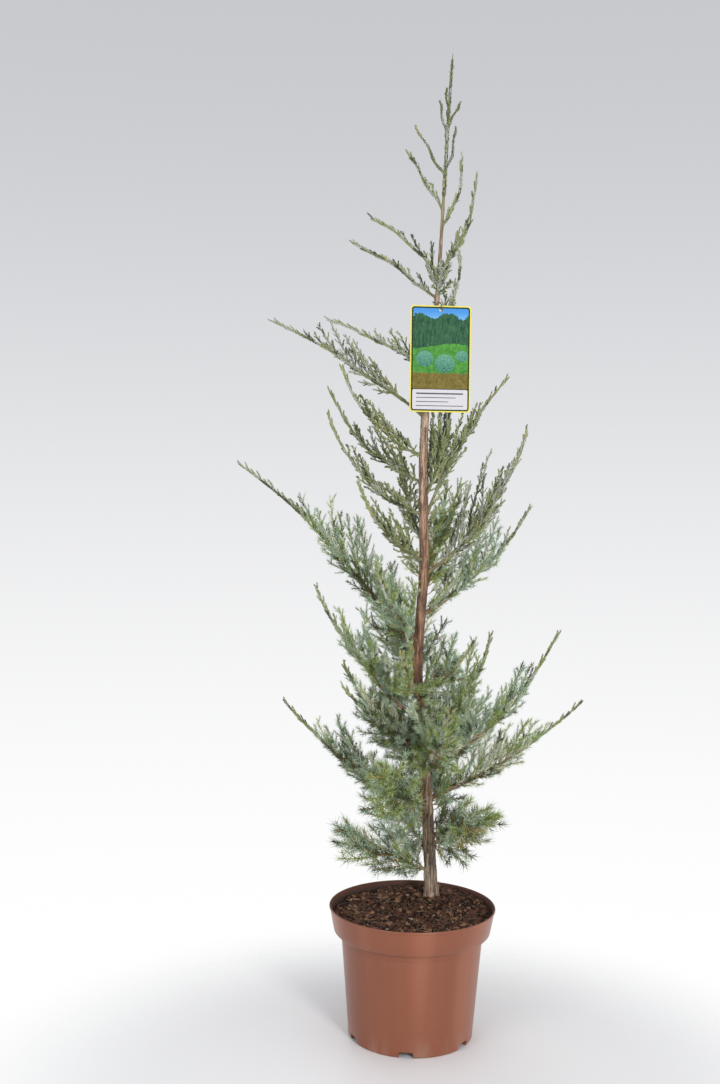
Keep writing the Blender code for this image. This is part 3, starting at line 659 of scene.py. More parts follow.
foliage = {
    "golden": 0.618034,
    "fan": math.radians(165),  # twigs stand all round but for a gap under the limb
    "leanTip": math.radians(18),  # a twig's angle to its limb, at the limb's tip
    "leanOld": math.radians(34),  # and at its foot, for scale leaves and for needles
    "leanYoung": math.radians(64),
    "leanFront": math.radians(18),  # more on limbs that point to the front or back
    "leanTop": 0.65,  # the share of the foot's angle on limbs that start above topFrom
    "topFrom": 1.0,
    "leanSpread": math.radians(10),
    "lift": 0.08,  # how much twigs turn upwards, and how much more needled ones do
    "liftYoung": 0.26,
    "droop": 0.34,  # but less on blunt sprays, which have needles alone
    "curl": 0.10,
    "forward": 0.22,
    "upper": 0.12,  # twigs above a limb are this much longer, those below it shorter
    "pitchOld": 0.0047,  # from twig to twig, for scale leaves and for needles
    "pitchYoung": 0.0032,
    "plumeEvery": 5,  # every so many twigs one is a long, more upright plume
    "plumeReach": (1.25, 1.40),  # its share of the reach, on scale-leaved and needled limbs
    "plainReach": (0.65, 0.68),  # and that of the others
    "plumeLift": 0.34,
    "plumeFan": 0.55,
    "bluntReach": 0.76,
    "bluntPitch": 1.25,  # blunt sprays have fewer twigs
    "bluntOpener": 1.55,  # and fewer twiglets on them
    "needlesFrom": 0.35,  # leaves are needles where a twig is younger than this
    "bluntFrom": 0.905,  # and long, blunt ones where it is younger than this
    "shortest": 0.007,  # a twig that finds less room than this is left out
    "leastReach": 0.009,
    "plainBelow": 0.012,  # shorter twigs than this have no twiglets
    "denser": {  # closer twigs, by side and number
        "left": {8: 0.75},
        "right": {1: 0.55, 3: 0.80, 5: 0.75, 6: 0.75},
        "front": {6: 0.35},
    },
    "frontDenser": 0.75,
    "wider": {  # the twigs' reach, as a share of the spread in the limb's row
        "leader": {3: 0.50, 4: 0.80},
        "left": {
            1: 0.65, 2: 0.65, 3: 0.80, 4: 0.80, 5: 0.80, 6: 0.80, 7: 0.85, 8: 0.80, 9: 0.64, 10: 0.64,
            11: 0.74, 12: 0.62, 13: 1.20,
        },
        "right": {3: 0.78, 4: 0.64, 5: 0.92, 6: 0.92, 7: 0.58, 8: 0.58, 9: 0.85, 10: 0.80},
        "front": {1: 0.62, 2: 0.75, 3: 0.80, 4: 0.80, 5: 0.90},
    },
    "frontWider": 1.22,
    "taper": (0.12, 0.95, 0.14),  # from and to where twigs shorten up a limb, and to what share: scales,
    "taperMixed": (0.25, 0.88, 0.13),  # limbs that change from needles to scale leaves,
    "taperNeedles": (0.50, 1.15, 0.35),  # and blunt sprays of needles alone
    "twigletOld": 0.0034,
    "twigletYoung": 0.0050,
    "twigletLean": (math.radians(20), math.radians(40)),
    "twigletShortest": 0.0055,
    "twigThick": {"scales": 1.00 * mm, "needles": 0.60 * mm, "inner": 0.85 * mm},
    "innerFrom": 0.60,  # younger twigs than this are thick and bare at their foot
    "slack": 19 * mm,  # how far a spray may reach into its neighbours' space
    "lowest": 0.178,
    # the trunk's front stays open from and to these heights, so far to each side of its middle
    "windows": ((0.0, 0.300, 0.009), (0.300, 0.350, 0.005), (0.470, 0.590, 0.009)),
    "wander": 1.6 * mm,
    "cardClear": 0.075,
    "greenFrom": 0.38,  # a limb is bark up to this share of it, and green beyond
    "stemBare": (0.05, 0.14),  # the share of a limb without leaves, on plain and on twiggy limbs
    "stemPiece": 0.018,
    "stemRing": 0.006,
    "leader": (1.120, 1.300, 0.012),  # leaves on the leader's stem: from, to, and each length
}


def unit(vectors):
    return vectors / np.maximum(np.linalg.norm(vectors, axis=-1, keepdims=True), 1e-9)


def sidesOf(tangents):
    level = unit(np.cross(tangents, up) + np.array([1e-7, 0, 0]))
    return level, unit(np.cross(level, tangents))


def bendOf(limb):
    root = trunkAt(limb["root"])[0]
    tip = np.array(limb["tip"])
    chord = tip - root
    flat = unit(np.array([chord[0], chord[1], 0.0]))
    sag = (flat * chord[2] - up * chord.dot(flat)) * limb["bow"]
    return root, (root + tip) / 2 + sag * 2, tip


def limbPoints(limb, t):
    root, middle, tip = limb["bend"]
    t = np.atleast_1d(t)[:, None]
    line = root * (1 - t) ** 2 + middle * 2 * t * (1 - t) + tip * t**2
    phase = 2.4 * limb["number"] + len(limb["side"])
    sway = np.hstack([np.sin(9 * t + phase), np.cos(8 * t + 2 * phase), 0.5 * np.sin(11 * t + phase)])
    return line + sway * foliage["wander"] * np.maximum(0, np.sin(np.pi * t)) ** 0.5


def adjusted(kind, limb):
    # what one spray has of its own among the settings, or 1
    return foliage[kind].get(limb["side"], {}).get(limb["number"], 1.0)


def limbRadius(limb, t):
    return limb["girth"] * mm * (0.16 + 0.84 * np.maximum(0, 1 - t) ** 0.8)


for limb in limbs:
    limb["bend"] = bendOf(limb)
    limb["length"] = float(np.linalg.norm(limb["bend"][2] - limb["bend"][0]))
    limb["node"] = f"{limb['side']}_spray_{limb['number']}"
    limb["samples"] = limbPoints(limb, np.linspace(0, 1, max(8, int(limb["length"] / 0.004))))

labelTurn = (
    Matrix.Translation(label["centre"])
    @ Matrix.Rotation(label["yaw"], 4, "Z")
    @ Matrix.Rotation(label["roll"], 4, "Y")
)
labelBack = np.array(labelTurn.inverted())


def clearOfThings(points, margin):
    # true where a point is clear of the trunk, the label, the soil and the pot's rim
    heights = points[:, 2]
    trunk = np.stack([np.interp(heights, trunkRows[:, 0], trunkRows[:, k]) for k in (1, 2)], 1)
    girth = np.interp(heights, trunkRows[:, 0], trunkRows[:, 3]) / 2
    offTrunk = np.linalg.norm(points[:, :2] - trunk, axis=1) > np.minimum(girth, 0.012) + margin
    local = points @ labelBack[:3, :3].T + labelBack[:3, 3]
    nearCard = (np.abs(local[:, 0]) < label["width"] / 2 + margin) & (local[:, 1] < margin + 1.5 * mm)
    nearCard &= (local[:, 1] > -foliage["cardClear"]) & (np.abs(local[:, 2]) < label["height"] / 2 + margin)
    aside = np.where(points[:, 1] < trunk[:, 1], np.abs(points[:, 0] - trunk[:, 0]), 1.0)
    hiding = [(heights > low) & (heights < high) & (aside < half) for low, high, half in foliage["windows"]]
    return offTrunk & ~nearCard & ~np.any(hiding, axis=0) & (heights > foliage["lowest"])


class SpraySpace:
    # each spray keeps to the space that is nearest its own stem
    def __init__(self):
        lines = [limb["samples"] for limb in limbs]
        self.others = [np.vstack(lines[:i] + lines[i + 1:]) for i in range(len(lines))]

    def holds(self, index, points, slack):
        own = limbs[index]["samples"]
        near = np.linalg.norm(points[:, None] - own[None], axis=2).min(1)
        far = np.linalg.norm(points[:, None] - self.others[index][None], axis=2).min(1)
        return bool(np.all(far + slack > near) and np.all(clearOfThings(points, 2.2 * mm)))


def tubeFaces(rings, sides):
    here = np.arange(rings - 1)[:, None] * sides + np.arange(sides)[None]
    side = np.arange(rings - 1)[:, None] * sides + (np.arange(sides)[None] + 1) % sides
    lower = np.stack([here, side + sides, here + sides], -1).reshape(-1, 3)
    upper = np.stack([here, side, side + sides], -1).reshape(-1, 3)
    last = (rings - 1) * sides
    foot = [(0, k + 1, k) for k in range(1, sides - 1)]
    tip = [(last, last + k, last + k + 1) for k in range(1, sides - 1)]
    return np.vstack([lower, upper, foot, tip])


class Tubes:
    # gathers many thin tapering twigs into one closed mesh each
    def __init__(self):
        self.verts, self.faces, self.count = [], [], 0

    def gather(self, verts, faces):
        self.verts.append(verts)
        self.faces.append(faces + self.count)
        self.count += len(verts)

    def add(self, points, radii, sides):
        level, over = sidesOf(unit(np.gradient(points, axis=0)))
        turn = math.tau * np.arange(sides) / sides
        ring = level[:, None] * np.cos(turn)[None, :, None] + over[:, None] * np.sin(turn)[None, :, None]
        verts = (points[:, None] + ring * np.asarray(radii)[:, None, None]).reshape(-1, 3)
        self.gather(verts, tubeFaces(len(points), sides))

    def joined(self, name):
        return meshFromArrays(name, np.vstack(self.verts), np.vstack(self.faces))


leafFaces = np.array([(0, 2, 1), (0, 1, 3), (1, 2, 3), (2, 0, 3)])


class Leaves:
    # gathers needles or scale leaves, four faces each
    def __init__(self):
        self.corners, self.count = [], 0

    def add(self, feet, ways, lengths, widths):
        level, over = sidesOf(ways)
        half = (widths / 2)[:, None]
        base = feet - ways * (0.04 * lengths)[:, None]
        left = base - level * half - over * half * 0.30
        right = base + level * half - over * half * 0.30
        top = base + over * half * 0.75
        tip = feet + ways * lengths[:, None]
        self.corners.append(np.stack([left, right, top, tip], 1))
        self.count += len(feet)

    def joined(self, name, part, parts):
        verts = np.vstack(self.corners)[part::parts]
        faces = leafFaces[None] + 4 * np.arange(len(verts))[:, None, None]
        return meshFromArrays(name, verts.reshape(-1, 3), faces.reshape(-1, 3))


leafShades = {  # name, base colour, roughness; needles first, then scale leaves
    "needlesFrost": ((0.745, 0.825, 0.615, 1), 0.60),
    "needlesBlue": ((0.450, 0.590, 0.425, 1), 0.58),
    "needlesGreen": ((0.380, 0.495, 0.175, 1), 0.56),
    "needlesDeep": ((0.075, 0.110, 0.048, 1), 0.60),
    "needlesOlive": ((0.440, 0.385, 0.140, 1), 0.58),
    "scalesGrey": ((0.520, 0.555, 0.475, 1), 0.60),
    "scalesGreen": ((0.340, 0.395, 0.190, 1), 0.56),
    "scalesDeep": ((0.070, 0.090, 0.050, 1), 0.58),
    "scalesOlive": ((0.470, 0.465, 0.220, 1), 0.56),
}
leafKinds = {  # lengths in mm; of a pair, the second figure is what a fully young twig adds
    "scales": {
        "pitch": 1.6, "perRing": 2, "lean": (0.34, 0), "leanSpread": 0.10,
        "length": (3.6, 0), "width": (1.90, 0), "shorter": 0.34,
    },
    "needles": {
        "pitch": 2.6, "perRing": 3, "lean": (0.44, 0.50), "leanSpread": 0.20,
        "length": (3.6, 7.2), "width": (1.52, -0.15), "shorter": 0.34,
    },
    "blunt": {
        "pitch": 3.1, "perRing": 3, "lean": (0.34, 0.50), "leanSpread": 0.20,
        "length": (6.4, 7.2), "width": (1.3376, -0.132), "shorter": 0.12,
    },
}
mostLeaves = 46000  # in one joined piece
leaves = {name: Leaves() for name in leafShades}
shootTubes, twigTubes, innerTubes, stemTubes = Tubes(), Tubes(), Tubes(), Tubes()


def isNeedled(young):
    return young > foliage["needlesFrom"]


def shadeFor(height, young, rng, main=False):
    # frosted blue low down, fresher green higher up, olive and grey at the top
    if isNeedled(young):
        names = [name for name in leafShades if name.startswith("needles")]
        high = min(1.0, max(0.0, (height - 0.40) / 0.30))
        blunt = 0.10 * (young > foliage["bluntFrom"])
        odds = [0.25 - 0.08 * high - blunt, 0.34 - 0.12 * high, 0.22 + 0.20 * high]
        odds = np.array(odds + [0.19 + 0.8 * blunt, 0.8 * blunt])
    else:
        names = [name for name in leafShades if name.startswith("scales")]
        high = min(1.0, max(0.0, (height - 0.60) / 0.40))
        odds = np.array([0.22 + 0.14 * high, 0.36 - 0.08 * high, 0.22, 0.20 - 0.06 * high])
    if main:  # a spray's own shade is never olive and seldom the palest or the darkest
        odds[-1] = 0.0
        odds[0] *= 0.5
        odds[3 if isNeedled(young) else 2] *= 0.4
    return names[rng.choice(len(names), p=odds / odds.sum())]


def shadeNear(shade, height, young, rng):
    # a twig keeps its spray's shade about half the time
    kind = "needles" if isNeedled(young) else "scales"
    return shade if shade.startswith(kind) and rng.random() < 0.55 else shadeFor(height, young, rng)


def leafAlong(line, young, shade, rng, first=0.0, radius=0.0, perRing=0, size=1.0):
    # leaves in whorls up a twig, shorter towards its tip; size is for scale leaves only
    needled = isNeedled(young)
    kind = leafKinds["blunt" if young > foliage["bluntFrom"] else "needles" if needled else "scales"]
    steps = np.linalg.norm(np.diff(line, axis=0), axis=1)
    along = np.concatenate([[0], np.cumsum(steps)])
    pitch = kind["pitch"] * mm
    spots = np.arange(along[-1] * first + 0.5 * pitch, along[-1] + 0.3 * pitch, pitch)
    if len(spots) == 0:
        return
    share = np.minimum(1.0, spots / along[-1])
    feet, ahead, behind = (
        np.stack([np.interp(spots + step, along, line[:, k]) for k in range(3)], 1)
        for step in (0, mm, -mm)
    )
    tangents = unit(ahead - behind)
    level, over = sidesOf(tangents)
    perRing = perRing or kind["perRing"]
    turn = rng.uniform(0, math.tau)
    middle, longest, width = (kind[what][0] + kind[what][1] * young for what in ("lean", "length", "width"))
    grown = mm if needled else size * mm
    for k in range(perRing):
        azimuth = turn + math.tau * k / perRing + np.arange(len(spots)) * math.pi / perRing
        azimuth += rng.normal(0, 0.22, len(spots))
        out = level * np.cos(azimuth)[:, None] + over * np.sin(azimuth)[:, None]
        lean = (middle + rng.normal(0, kind["leanSpread"], len(spots))) * (1 - 0.55 * share**3)
        ways = unit(tangents * np.cos(lean)[:, None] + out * np.sin(lean)[:, None] + up * 0.05 * young)
        uneven = rng.uniform(0.66, 1.20, len(spots))
        lengths = longest * grown * (1 - kind["shorter"] * share) * uneven
        widths = width * grown * (1 - 0.15 * share)
        base = feet + out * radius
        keep = clearOfThings(base + ways * lengths[:, None], 0.3 * mm)
        leaves[shade].add(base[keep], ways[keep], lengths[keep], widths[keep])


def twigLine(start, way, length, rng, count, ahead=None):
    u = np.linspace(0, 1, count)[:, None]
    side = unit(np.cross(way, up) + 1e-6)
    bend = rng.normal(0, 0.06) * length
    wave = rng.normal(0, 0.03) * length
    rise = up * foliage["curl"] if ahead is None else up * foliage["curl"] + ahead * foliage["forward"]
    return start + way * (length * u) + rise * (length * u**2) + side * (bend * u**2 + wave * np.sin(6 * u))


def twigProfile(limb, s):
    young = limb["young"]
    kind = "taperNeedles" if young >= 0.85 else "taperMixed" if isNeedled(young) else "taper"
    full, thin, least = foliage[kind]
    wider = adjusted("wider", limb) * (foliage["frontWider"] if limb["side"] == "front" else 1.0)
    body = 1 - eased((s - full) / (thin - full))
    return wider * max(least, body * min(1.0, s / 0.10) ** 0.3)


def youngAt(limb, t):
    # needles give way to scale leaves towards a limb's tip
    if limb["young"] == 1:
        return 1.0 - 0.09 * t**3
    return limb["young"] * min(1.0, max(0.0, (0.95 - t) / 0.42))


def growTwiglets(index, line, length, young, shade, rng, space):
    needles = isNeedled(young)
    pitch = foliage["twigletYoung"] if needles else foliage["twigletOld"]
    pitch *= foliage["bluntOpener"] if young > foliage["bluntFrom"] else 1.0
    longest = 0.004 + length * 0.34 if needles else min(0.0055 + length * 0.22, 0.0145)
    count = int(length / pitch)
    if count < 2:
        return
    turn = rng.uniform(0, 1)
    thick = (0.40 if needles else 0.72) * mm
    tubes = innerTubes if needles else shootTubes
    for i in range(count):
        u = 0.12 + 0.82 * (i + 0.5) / count
        at = u * (len(line) - 1)
        low = int(at)
        after = line[min(low + 1, len(line) - 1)]
        start = line[low] + (after - line[low]) * (at - low)
        tangent = unit(after - line[max(low - 1, 0)])
        level, over = sidesOf(tangent)
        around = math.tau * ((i * foliage["golden"] + turn) % 1)
        out = level * math.cos(around) + over * math.sin(around)
        lean = rng.uniform(*foliage["twigletLean"]) * (1.25 if needles else 1.0)
        way = unit(tangent * math.cos(lean) + out * math.sin(lean) + up * 0.06)
        reach = max(foliage["twigletShortest"], longest * (1 - 0.60 * u)) * rng.uniform(0.6, 1.15)
        twiglet = twigLine(start, way, reach, rng, 4)
        if not space.holds(index, twiglet[1:], foliage["slack"] * 1.3):
            continue
        tubes.add(twiglet, thick * np.linspace(1, 0.50, 4), 3)
        tint = shade if rng.random() < 0.5 else shadeFor(start[2], young, rng)
        leafAlong(twiglet, young, tint, rng, radius=thick * 0.6)


def growSpray(index, space):
    limb = limbs[index]
    rng = np.random.default_rng(1000 + index)
    dice = random.Random(f"{limb['side']}{limb['number']}")
    young, bare = limb["young"], limb["bare"]
    pitch = foliage["pitchOld"] + (foliage["pitchYoung"] - foliage["pitchOld"]) * young
    pitch *= adjusted("denser", limb) * (foliage["bluntPitch"] if young == 1 else 1.0)
    pitch *= foliage["frontDenser"] if limb["side"] == "front" else 1.0
    leafy = limb["length"] * (1 - bare)
    count = limb["twigs"] if limb["spread"] == 0 else max(limb["twigs"], round(leafy / pitch))
    main = shadeFor(limbPoints(limb, 0.5)[0][2], youngAt(limb, 0.5), rng, main=True)
    leanFoot = foliage["leanOld"] + (foliage["leanYoung"] - foliage["leanOld"]) * min(1.0, young * 1.5)
    leanFoot *= foliage["leanTop"] if limb["root"] > foliage["topFrom"] else 1.0
    plumed = young < 1 and limb["side"] != "leader"
    for i in range(count):
        s = ((i + 0.5) / count) ** (1.0 + 0.35 * young)
        t = bare + 0.03 + (0.95 - bare) * s
        start = limbPoints(limb, t)[0]
        tangent = unit(limbPoints(limb, t + 0.01)[0] - limbPoints(limb, t - 0.01)[0])
        level, over = sidesOf(tangent)
        side = 2 * ((i * foliage["golden"] + dice.random() * 0.12) % 1) - 1
        plume = plumed and i % foliage["plumeEvery"] == index % foliage["plumeEvery"]
        around = side * foliage["fan"] * (foliage["plumeFan"] if plume else 1.0)
        out = over * math.cos(around) + level * math.sin(around)
        foot = max(0.0, 1 - s / 0.6)
        lean = foliage["leanTip"] + (leanFoot - foliage["leanTip"]) * foot
        lean += foliage["leanSpread"] * (1 + 1.6 * foot * young) * 2 * (dice.random() - 0.5)
        lean += foliage["leanFront"] if limb["side"] in ("front", "back") else 0.0
        lift = foliage["lift"] + foliage["liftYoung"] * young * foot
        lift += foliage["plumeLift"] * min(1.0, 2.5 * young + 0.3) if plume else 0.0
        lift -= foliage["droop"] if young == 1 else 0.0
        way = unit(tangent * math.cos(lean) + out * math.sin(lean) + up * lift)
        old, needled = foliage["plumeReach"] if plume else foliage["plainReach"]
        share = foliage["bluntReach"] if young == 1 else old + (needled - old) * young
        reach = max(foliage["leastReach"], limb["spread"] * twigProfile(limb, s) * share)
        reach *= (0.75 + 0.45 * dice.random()) * (1 + foliage["upper"] * float(out[2]) * (young < 1))
        here = youngAt(limb, t)
        while reach > foliage["shortest"]:
            line = twigLine(start, way, reach, rng, 7, tangent)
            if space.holds(index, line[2:], foliage["slack"]):
                break
            reach *= 0.8
        if reach <= foliage["shortest"]:
            continue
        shade = shadeNear(main, start[2], here, rng)
        inner = here > foliage["innerFrom"]
        thick = foliage["twigThick"]["inner" if inner else "needles" if isNeedled(here) else "scales"]
        (innerTubes if isNeedled(here) else twigTubes).add(line, thick * np.linspace(1, 0.45, 7), 4)
        leafAlong(line, here, shade, rng, first=0.24 if inner else 0.06, radius=thick * 0.6)
        if reach > foliage["plainBelow"]:
            growTwiglets(index, line, reach, here, shade, rng, space)
    dressStem(limb, rng)


def mixedLeaves(line, shade, radius, rng):
    # a green shoot without twigs, pale and dark leaves by turns
    for tint in (shade, "scalesDeep"):
        leafAlong(line, 0.0, tint, rng, radius=radius, perRing=2, size=1.5)


def dressStem(limb, rng):
    # leaves straight on the limb itself, so that only its foot is bare
    start = max(limb["bare"], foliage["stemBare"][1 if limb["twigs"] else 0])
    pieces = max(2, round(limb["length"] * (1 - start) / foliage["stemPiece"]))
    for k in range(pieces):
        low, high = (start + (1 - start) * (k + step) / pieces for step in (0, 1))
        line = limbPoints(limb, np.linspace(low, high, 7))
        young = youngAt(limb, (low + high) / 2)
        shade = shadeFor(line[0][2], young, rng)
        radius = 0.9 * float(limbRadius(limb, (low + high) / 2))
        if limb["twigs"]:
            leafAlong(line, young, shade, rng, radius=radius, perRing=4, size=1.2)
        else:
            mixedLeaves(line, shade, radius, rng)
    green = foliage["greenFrom"] if limb["twigs"] else 0.08
    shares = np.linspace(green, 1.0, max(6, int(limb["length"] * (1 - green) / foliage["stemRing"])))
    stemTubes.add(limbPoints(limb, shares), limbRadius(limb, shares) + 0.2 * mm, 6)


tufts = [  # from and to what height, how many, facing which way and how widely, longest, how young
    (0.352, 0.452, 34, -1.57, 1.9, 0.040, 1.0),
    (0.290, 0.352, 12, -1.57, 2.2, 0.030, 1.0),
    (0.560, 0.700, 14, -0.10, 0.7, 0.040, 0.5),
    (0.560, 0.640, 6, 3.30, 0.5, 0.030, 0.4),
    (0.300, 0.560, 24, 1.57, 1.0, 0.036, 0.8),
]


class Anywhere:
    # tufts on the trunk need only keep off the trunk and the label
    def holds(self, index, points, slack):
        return bool(np.all(clearOfThings(points, 1.0 * mm)))


def growTufts():
    # short leafy shoots straight on the trunk, between the limbs
    rng = np.random.default_rng(31)
    for low, high, count, facing, fan, longest, young in tufts:
        for height in np.linspace(low, high, count):
            axis, radius = trunkAt(height + rng.normal(0, 0.003))
            way = facing + fan * rng.uniform(-1, 1)
            out = np.array([math.cos(way), math.sin(way), 0.0])
            rise = rng.uniform(0.35, 1.0)
            way = unit(out + up * rise)
            start = axis + out * (radius + 1.5 * mm)
            reach = longest * rng.uniform(0.55, 1.0)
            line = twigLine(start, way, reach, rng, 7, up * 0.6)
            if not np.all(clearOfThings(line[2:], 1.0 * mm)):
                continue
            shade = shadeFor(height, young, rng)
            innerTubes.add(line, 0.65 * mm * np.linspace(1, 0.45, 7), 4)
            leafAlong(line, young, shade, rng, first=0.18, radius=0.4 * mm)
            growTwiglets(0, line, reach, young, shade, rng, Anywhere())


space = SpraySpace()
for index in range(len(limbs)):
    growSpray(index, space)
growTufts()


def dressLeader():
    # the leader's green top wears scale leaves straight on its stem
    rng = np.random.default_rng(5)
    start, end, step = foliage["leader"]
    top = trunkStations[-1][0] - 1.5 * mm
    for low in np.arange(start, end, step):
        line = np.array([trunkAt(h)[0] for h in np.linspace(low, min(low + step, top), 5)])
        shade = ["scalesGrey", "scalesGreen", "scalesOlive"][rng.integers(3)]
        mixedLeaves(line, shade, trunkAt(low)[1] * 0.9, rng)


dressLeader()
print("leaves:", {name: kind.count for name, kind in leaves.items()})


def plainLeaf(name, colour, roughness):
    material = bpy.data.materials.new(name + "Look")
    material.use_nodes = True
    shader = material.node_tree.nodes["Principled BSDF"]
    wireUp(shader, "Base Color", colour)
    wireUp(shader, "Roughness", roughness)
    wireUp(shader, "Specular IOR Level", 0.35)
    return material


def joinFoliage():
    for name, (colour, roughness) in leafShades.items():
        needles = name.startswith("needles")
        nodes = [limb["node"] for limb in limbs if (limb["young"] >= 0.5) == needles]
        look = plainLeaf(name, colour, roughness)
        parts = math.ceil(leaves[name].count / mostLeaves)
        for part in range(parts):
            pieceName = name + "ABCD"[part]
            made = leaves[name].joined(pieceName, part, parts)
            addPiece(made, pieceName, "needles" if needles else "scale_leaves", look, *nodes)
    for tubes, name, colour in (
        (shootTubes, "greenShoots", (0.260, 0.300, 0.140, 1)),
        (twigTubes, "greenTwigs", (0.240, 0.255, 0.125, 1)),
        (innerTubes, "ochreTwigs", (0.420, 0.245, 0.085, 1)),
        (stemTubes, "oliveStems", (0.190, 0.165, 0.090, 1)),
    ):
        addPiece(tubes.joined(name), name, "scale_leaves", plainLeaf(name, colour, 0.65))


joinFoliage()
print("foliage joined")


# Bark: trunk and limbs, with their fibres in the mesh

bark = {
    "trunkSides": 40,
    "trunkRing": 2.4 * mm,
    "flare": 3.4 * mm,
    "flareHeight": 0.016,
    "fibre": 0.55 * mm,
    "limbSides": 10,
    "limbRing": 3.5 * mm,
    "twist": 1.6,
    "lumps": ((4.2, 42, 0.62), (1.3, 24, 0.55)),  # how fine round and along the stem, and how strong
    "shreds": 520,
    "shredsFrom": (0.172, 0.93),  # and up to what height they start
}


def barkMaterial(name, freshFrom, freshTo):
    material, shader, place = newMaterial(name)
    z = place.parts()[2]
    fibres = place.stretched((900, 900, 42)).grain(1.0, 5.0, 0.62)
    plates = place.stretched((230, 230, 26)).grain(1.0, 4.0, 0.60)
    patches = place.stretched((70, 70, 16)).grain(1.0, 3.0, 0.5)
    scaly = plates.within(0.32, 0.68)
    red = scaly.between((0.165, 0.090, 0.060, 1), (0.620, 0.415, 0.285, 1))
    grey = scaly.between((0.170, 0.125, 0.088, 1), (0.630, 0.510, 0.375, 1))
    low = 1.0 - z.within(0.17, 0.32)
    greyness = (patches.within(0.40, 0.62) * (0.55 + low * 0.45)).clamped()
    # painted shade: the trunk is darker and redder between about 0.34 m and 0.74 m, where the foliage hangs
    # round it
    shade = z.within(0.34, 0.44) * (1.0 - z.within(0.60, 0.74))
    coloured = shade.between(greyness.between(red, grey), (0.78, 0.62, 0.55, 1), "MULTIPLY")
    # dark between the fibres and in scar patches: painted shade in the grooves, with the bark's own dark
    # marks
    scars = place.stretched((150, 150, 55), (3, 1, 2)).grain(1.0, 4.0, 0.6)
    grooveShadeAndScars = (scars.within(0.34, 0.44) * 0.65 + 0.35) * fibres.within(0.34, 0.56)
    shaded = grooveShadeAndScars.between((0.075, 0.045, 0.032, 1), coloured)
    fresh = z.within(freshFrom, freshTo)
    wireUp(shader, "Base Color", fresh.between(shaded, (0.190, 0.190, 0.095, 1)))
    wireUp(shader, "Roughness", 0.78 + fibres * 0.18)
    roughen(shader, fibres + plates * 0.6, 0.55, 0.0008)
    return material


def barkTube(points, radii, sides, relief):
    tangents = unit(np.gradient(points, axis=0))
    level = unit(np.cross(tangents, np.array([0.0, 1.0, 0.0])))
    over = np.cross(level, tangents)
    verts = np.empty((len(points), sides, 3))
    for k, point in enumerate(points):
        for j in range(sides):
            angle = math.tau * j / sides
            twist = angle + bark["twist"] * point[2]
            lump = 0.0
            for across, along, strength in bark["lumps"]:
                spot = (math.cos(twist) * across, math.sin(twist) * across, point[2] * along)
                lump += noise.noise(Vector(spot)) * strength
            out = level[k] * math.cos(angle) + over[k] * math.sin(angle)
            verts[k, j] = point + out * (radii[k] + relief[k] * lump)
    return verts.reshape(-1, 3), tubeFaces(len(points), sides)


def modelTrunk(material):
    heights = np.arange(trunkStations[0][0], trunkStations[-1][0], bark["trunkRing"])
    points = np.array([trunkAt(h)[0] for h in heights])
    radii = np.array([trunkAt(h)[1] for h in heights])
    rise = heights - heights[0]
    radii = radii + bark["flare"] * np.exp(-rise / bark["flareHeight"])
    relief = np.minimum(bark["fibre"], radii * 0.16)
    swelling = np.zeros(len(heights))
    for limb in limbs:
        swelling += np.exp(-(((heights - limb["root"]) / 0.006) ** 2)) * limb["girth"] * 0.28 * mm
    verts, faces = barkTube(points, radii + swelling - relief * 0.3, bark["trunkSides"], relief)
    made = meshFromArrays("trunkBark", verts, faces)
    smoothByAngle(made, 60)
    addPiece(made, "trunkBark", "bark", material, "trunk")


def modelLimbs(material):
    gathered = Tubes()
    for limb in limbs:
        last = min(0.985, foliage["greenFrom"] + 0.05)
        shares = np.linspace(0.0, last, max(5, int(limb["length"] * last / bark["limbRing"])))
        radii = limbRadius(limb, shares)
        collar = 1 + 0.45 * np.exp(-shares * limb["length"] / 0.008)
        relief = np.minimum(0.28 * mm, radii * 0.14)
        gathered.gather(*barkTube(limbPoints(limb, shares), radii * collar, bark["limbSides"], relief))
    made = gathered.joined("limbBark")
    smoothByAngle(made, 60)
    nodes = [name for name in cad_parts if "_bough_" in name]
    addPiece(made, "limbBark", "bark", material, *nodes)


def peelShreds(material):
    # thin loose strips of bark that stand off the trunk
    rng = np.random.default_rng(23)
    corners = []
    for _ in range(bark["shreds"]):
        height = rng.uniform(*bark["shredsFrom"])
        radius = trunkAt(height)[1]
        radius += bark["flare"] * math.exp(-(height - trunkStations[0][0]) / bark["flareHeight"])
        turn = rng.uniform(0, math.tau)
        length = rng.uniform(5, 17) * mm
        width = rng.uniform(0.5, 1.6) * mm
        lift = rng.uniform(0.1, 1.0) * mm
        skew = rng.normal(0, 0.16)
        for u, stand in ((0, 0.0), (0.5, 0.35), (1, 1.0)):
            centre = trunkAt(height + length * u)[0]
            for edge in (-0.5, 0.5):
                angle = turn + (edge * width * (1 - 0.5 * u) + skew * length * u) / radius
                out = np.array([math.cos(angle), math.sin(angle), 0])
                for skin in (0.0, 0.28):
                    corners.append(centre + out * (radius + lift * stand + (skin - 0.1) * mm))
    faces = [(0, 1, 3), (0, 3, 2), (8, 11, 9), (8, 10, 11)]
    for a in (0, 4):
        for p, q in ((0, 2), (2, 3), (3, 1), (1, 0)):
            faces += [(a + p, a + q, a + 4 + q), (a + p, a + 4 + q, a + 4 + p)]
    shift = 12 * np.arange(bark["shreds"])[:, None, None]
    allFaces = (np.array(faces)[None] + shift).reshape(-1, 3)
    addPiece(meshFromArrays("barkShreds", np.array(corners), allFaces), "barkShreds", "bark", material)


barkLook = barkMaterial("shreddyBark", 1.04, 1.14)
modelTrunk(barkLook)
modelLimbs(barkMaterial("limbBarkLook", 0.40, 0.78))
peelShreds(barkLook)
print("trunk and limbs in bark")

modelSoil()
scatterChips()
layFibres()
print("soil laid")


# Hanging label: a generic garden picture and plain bars in place of print

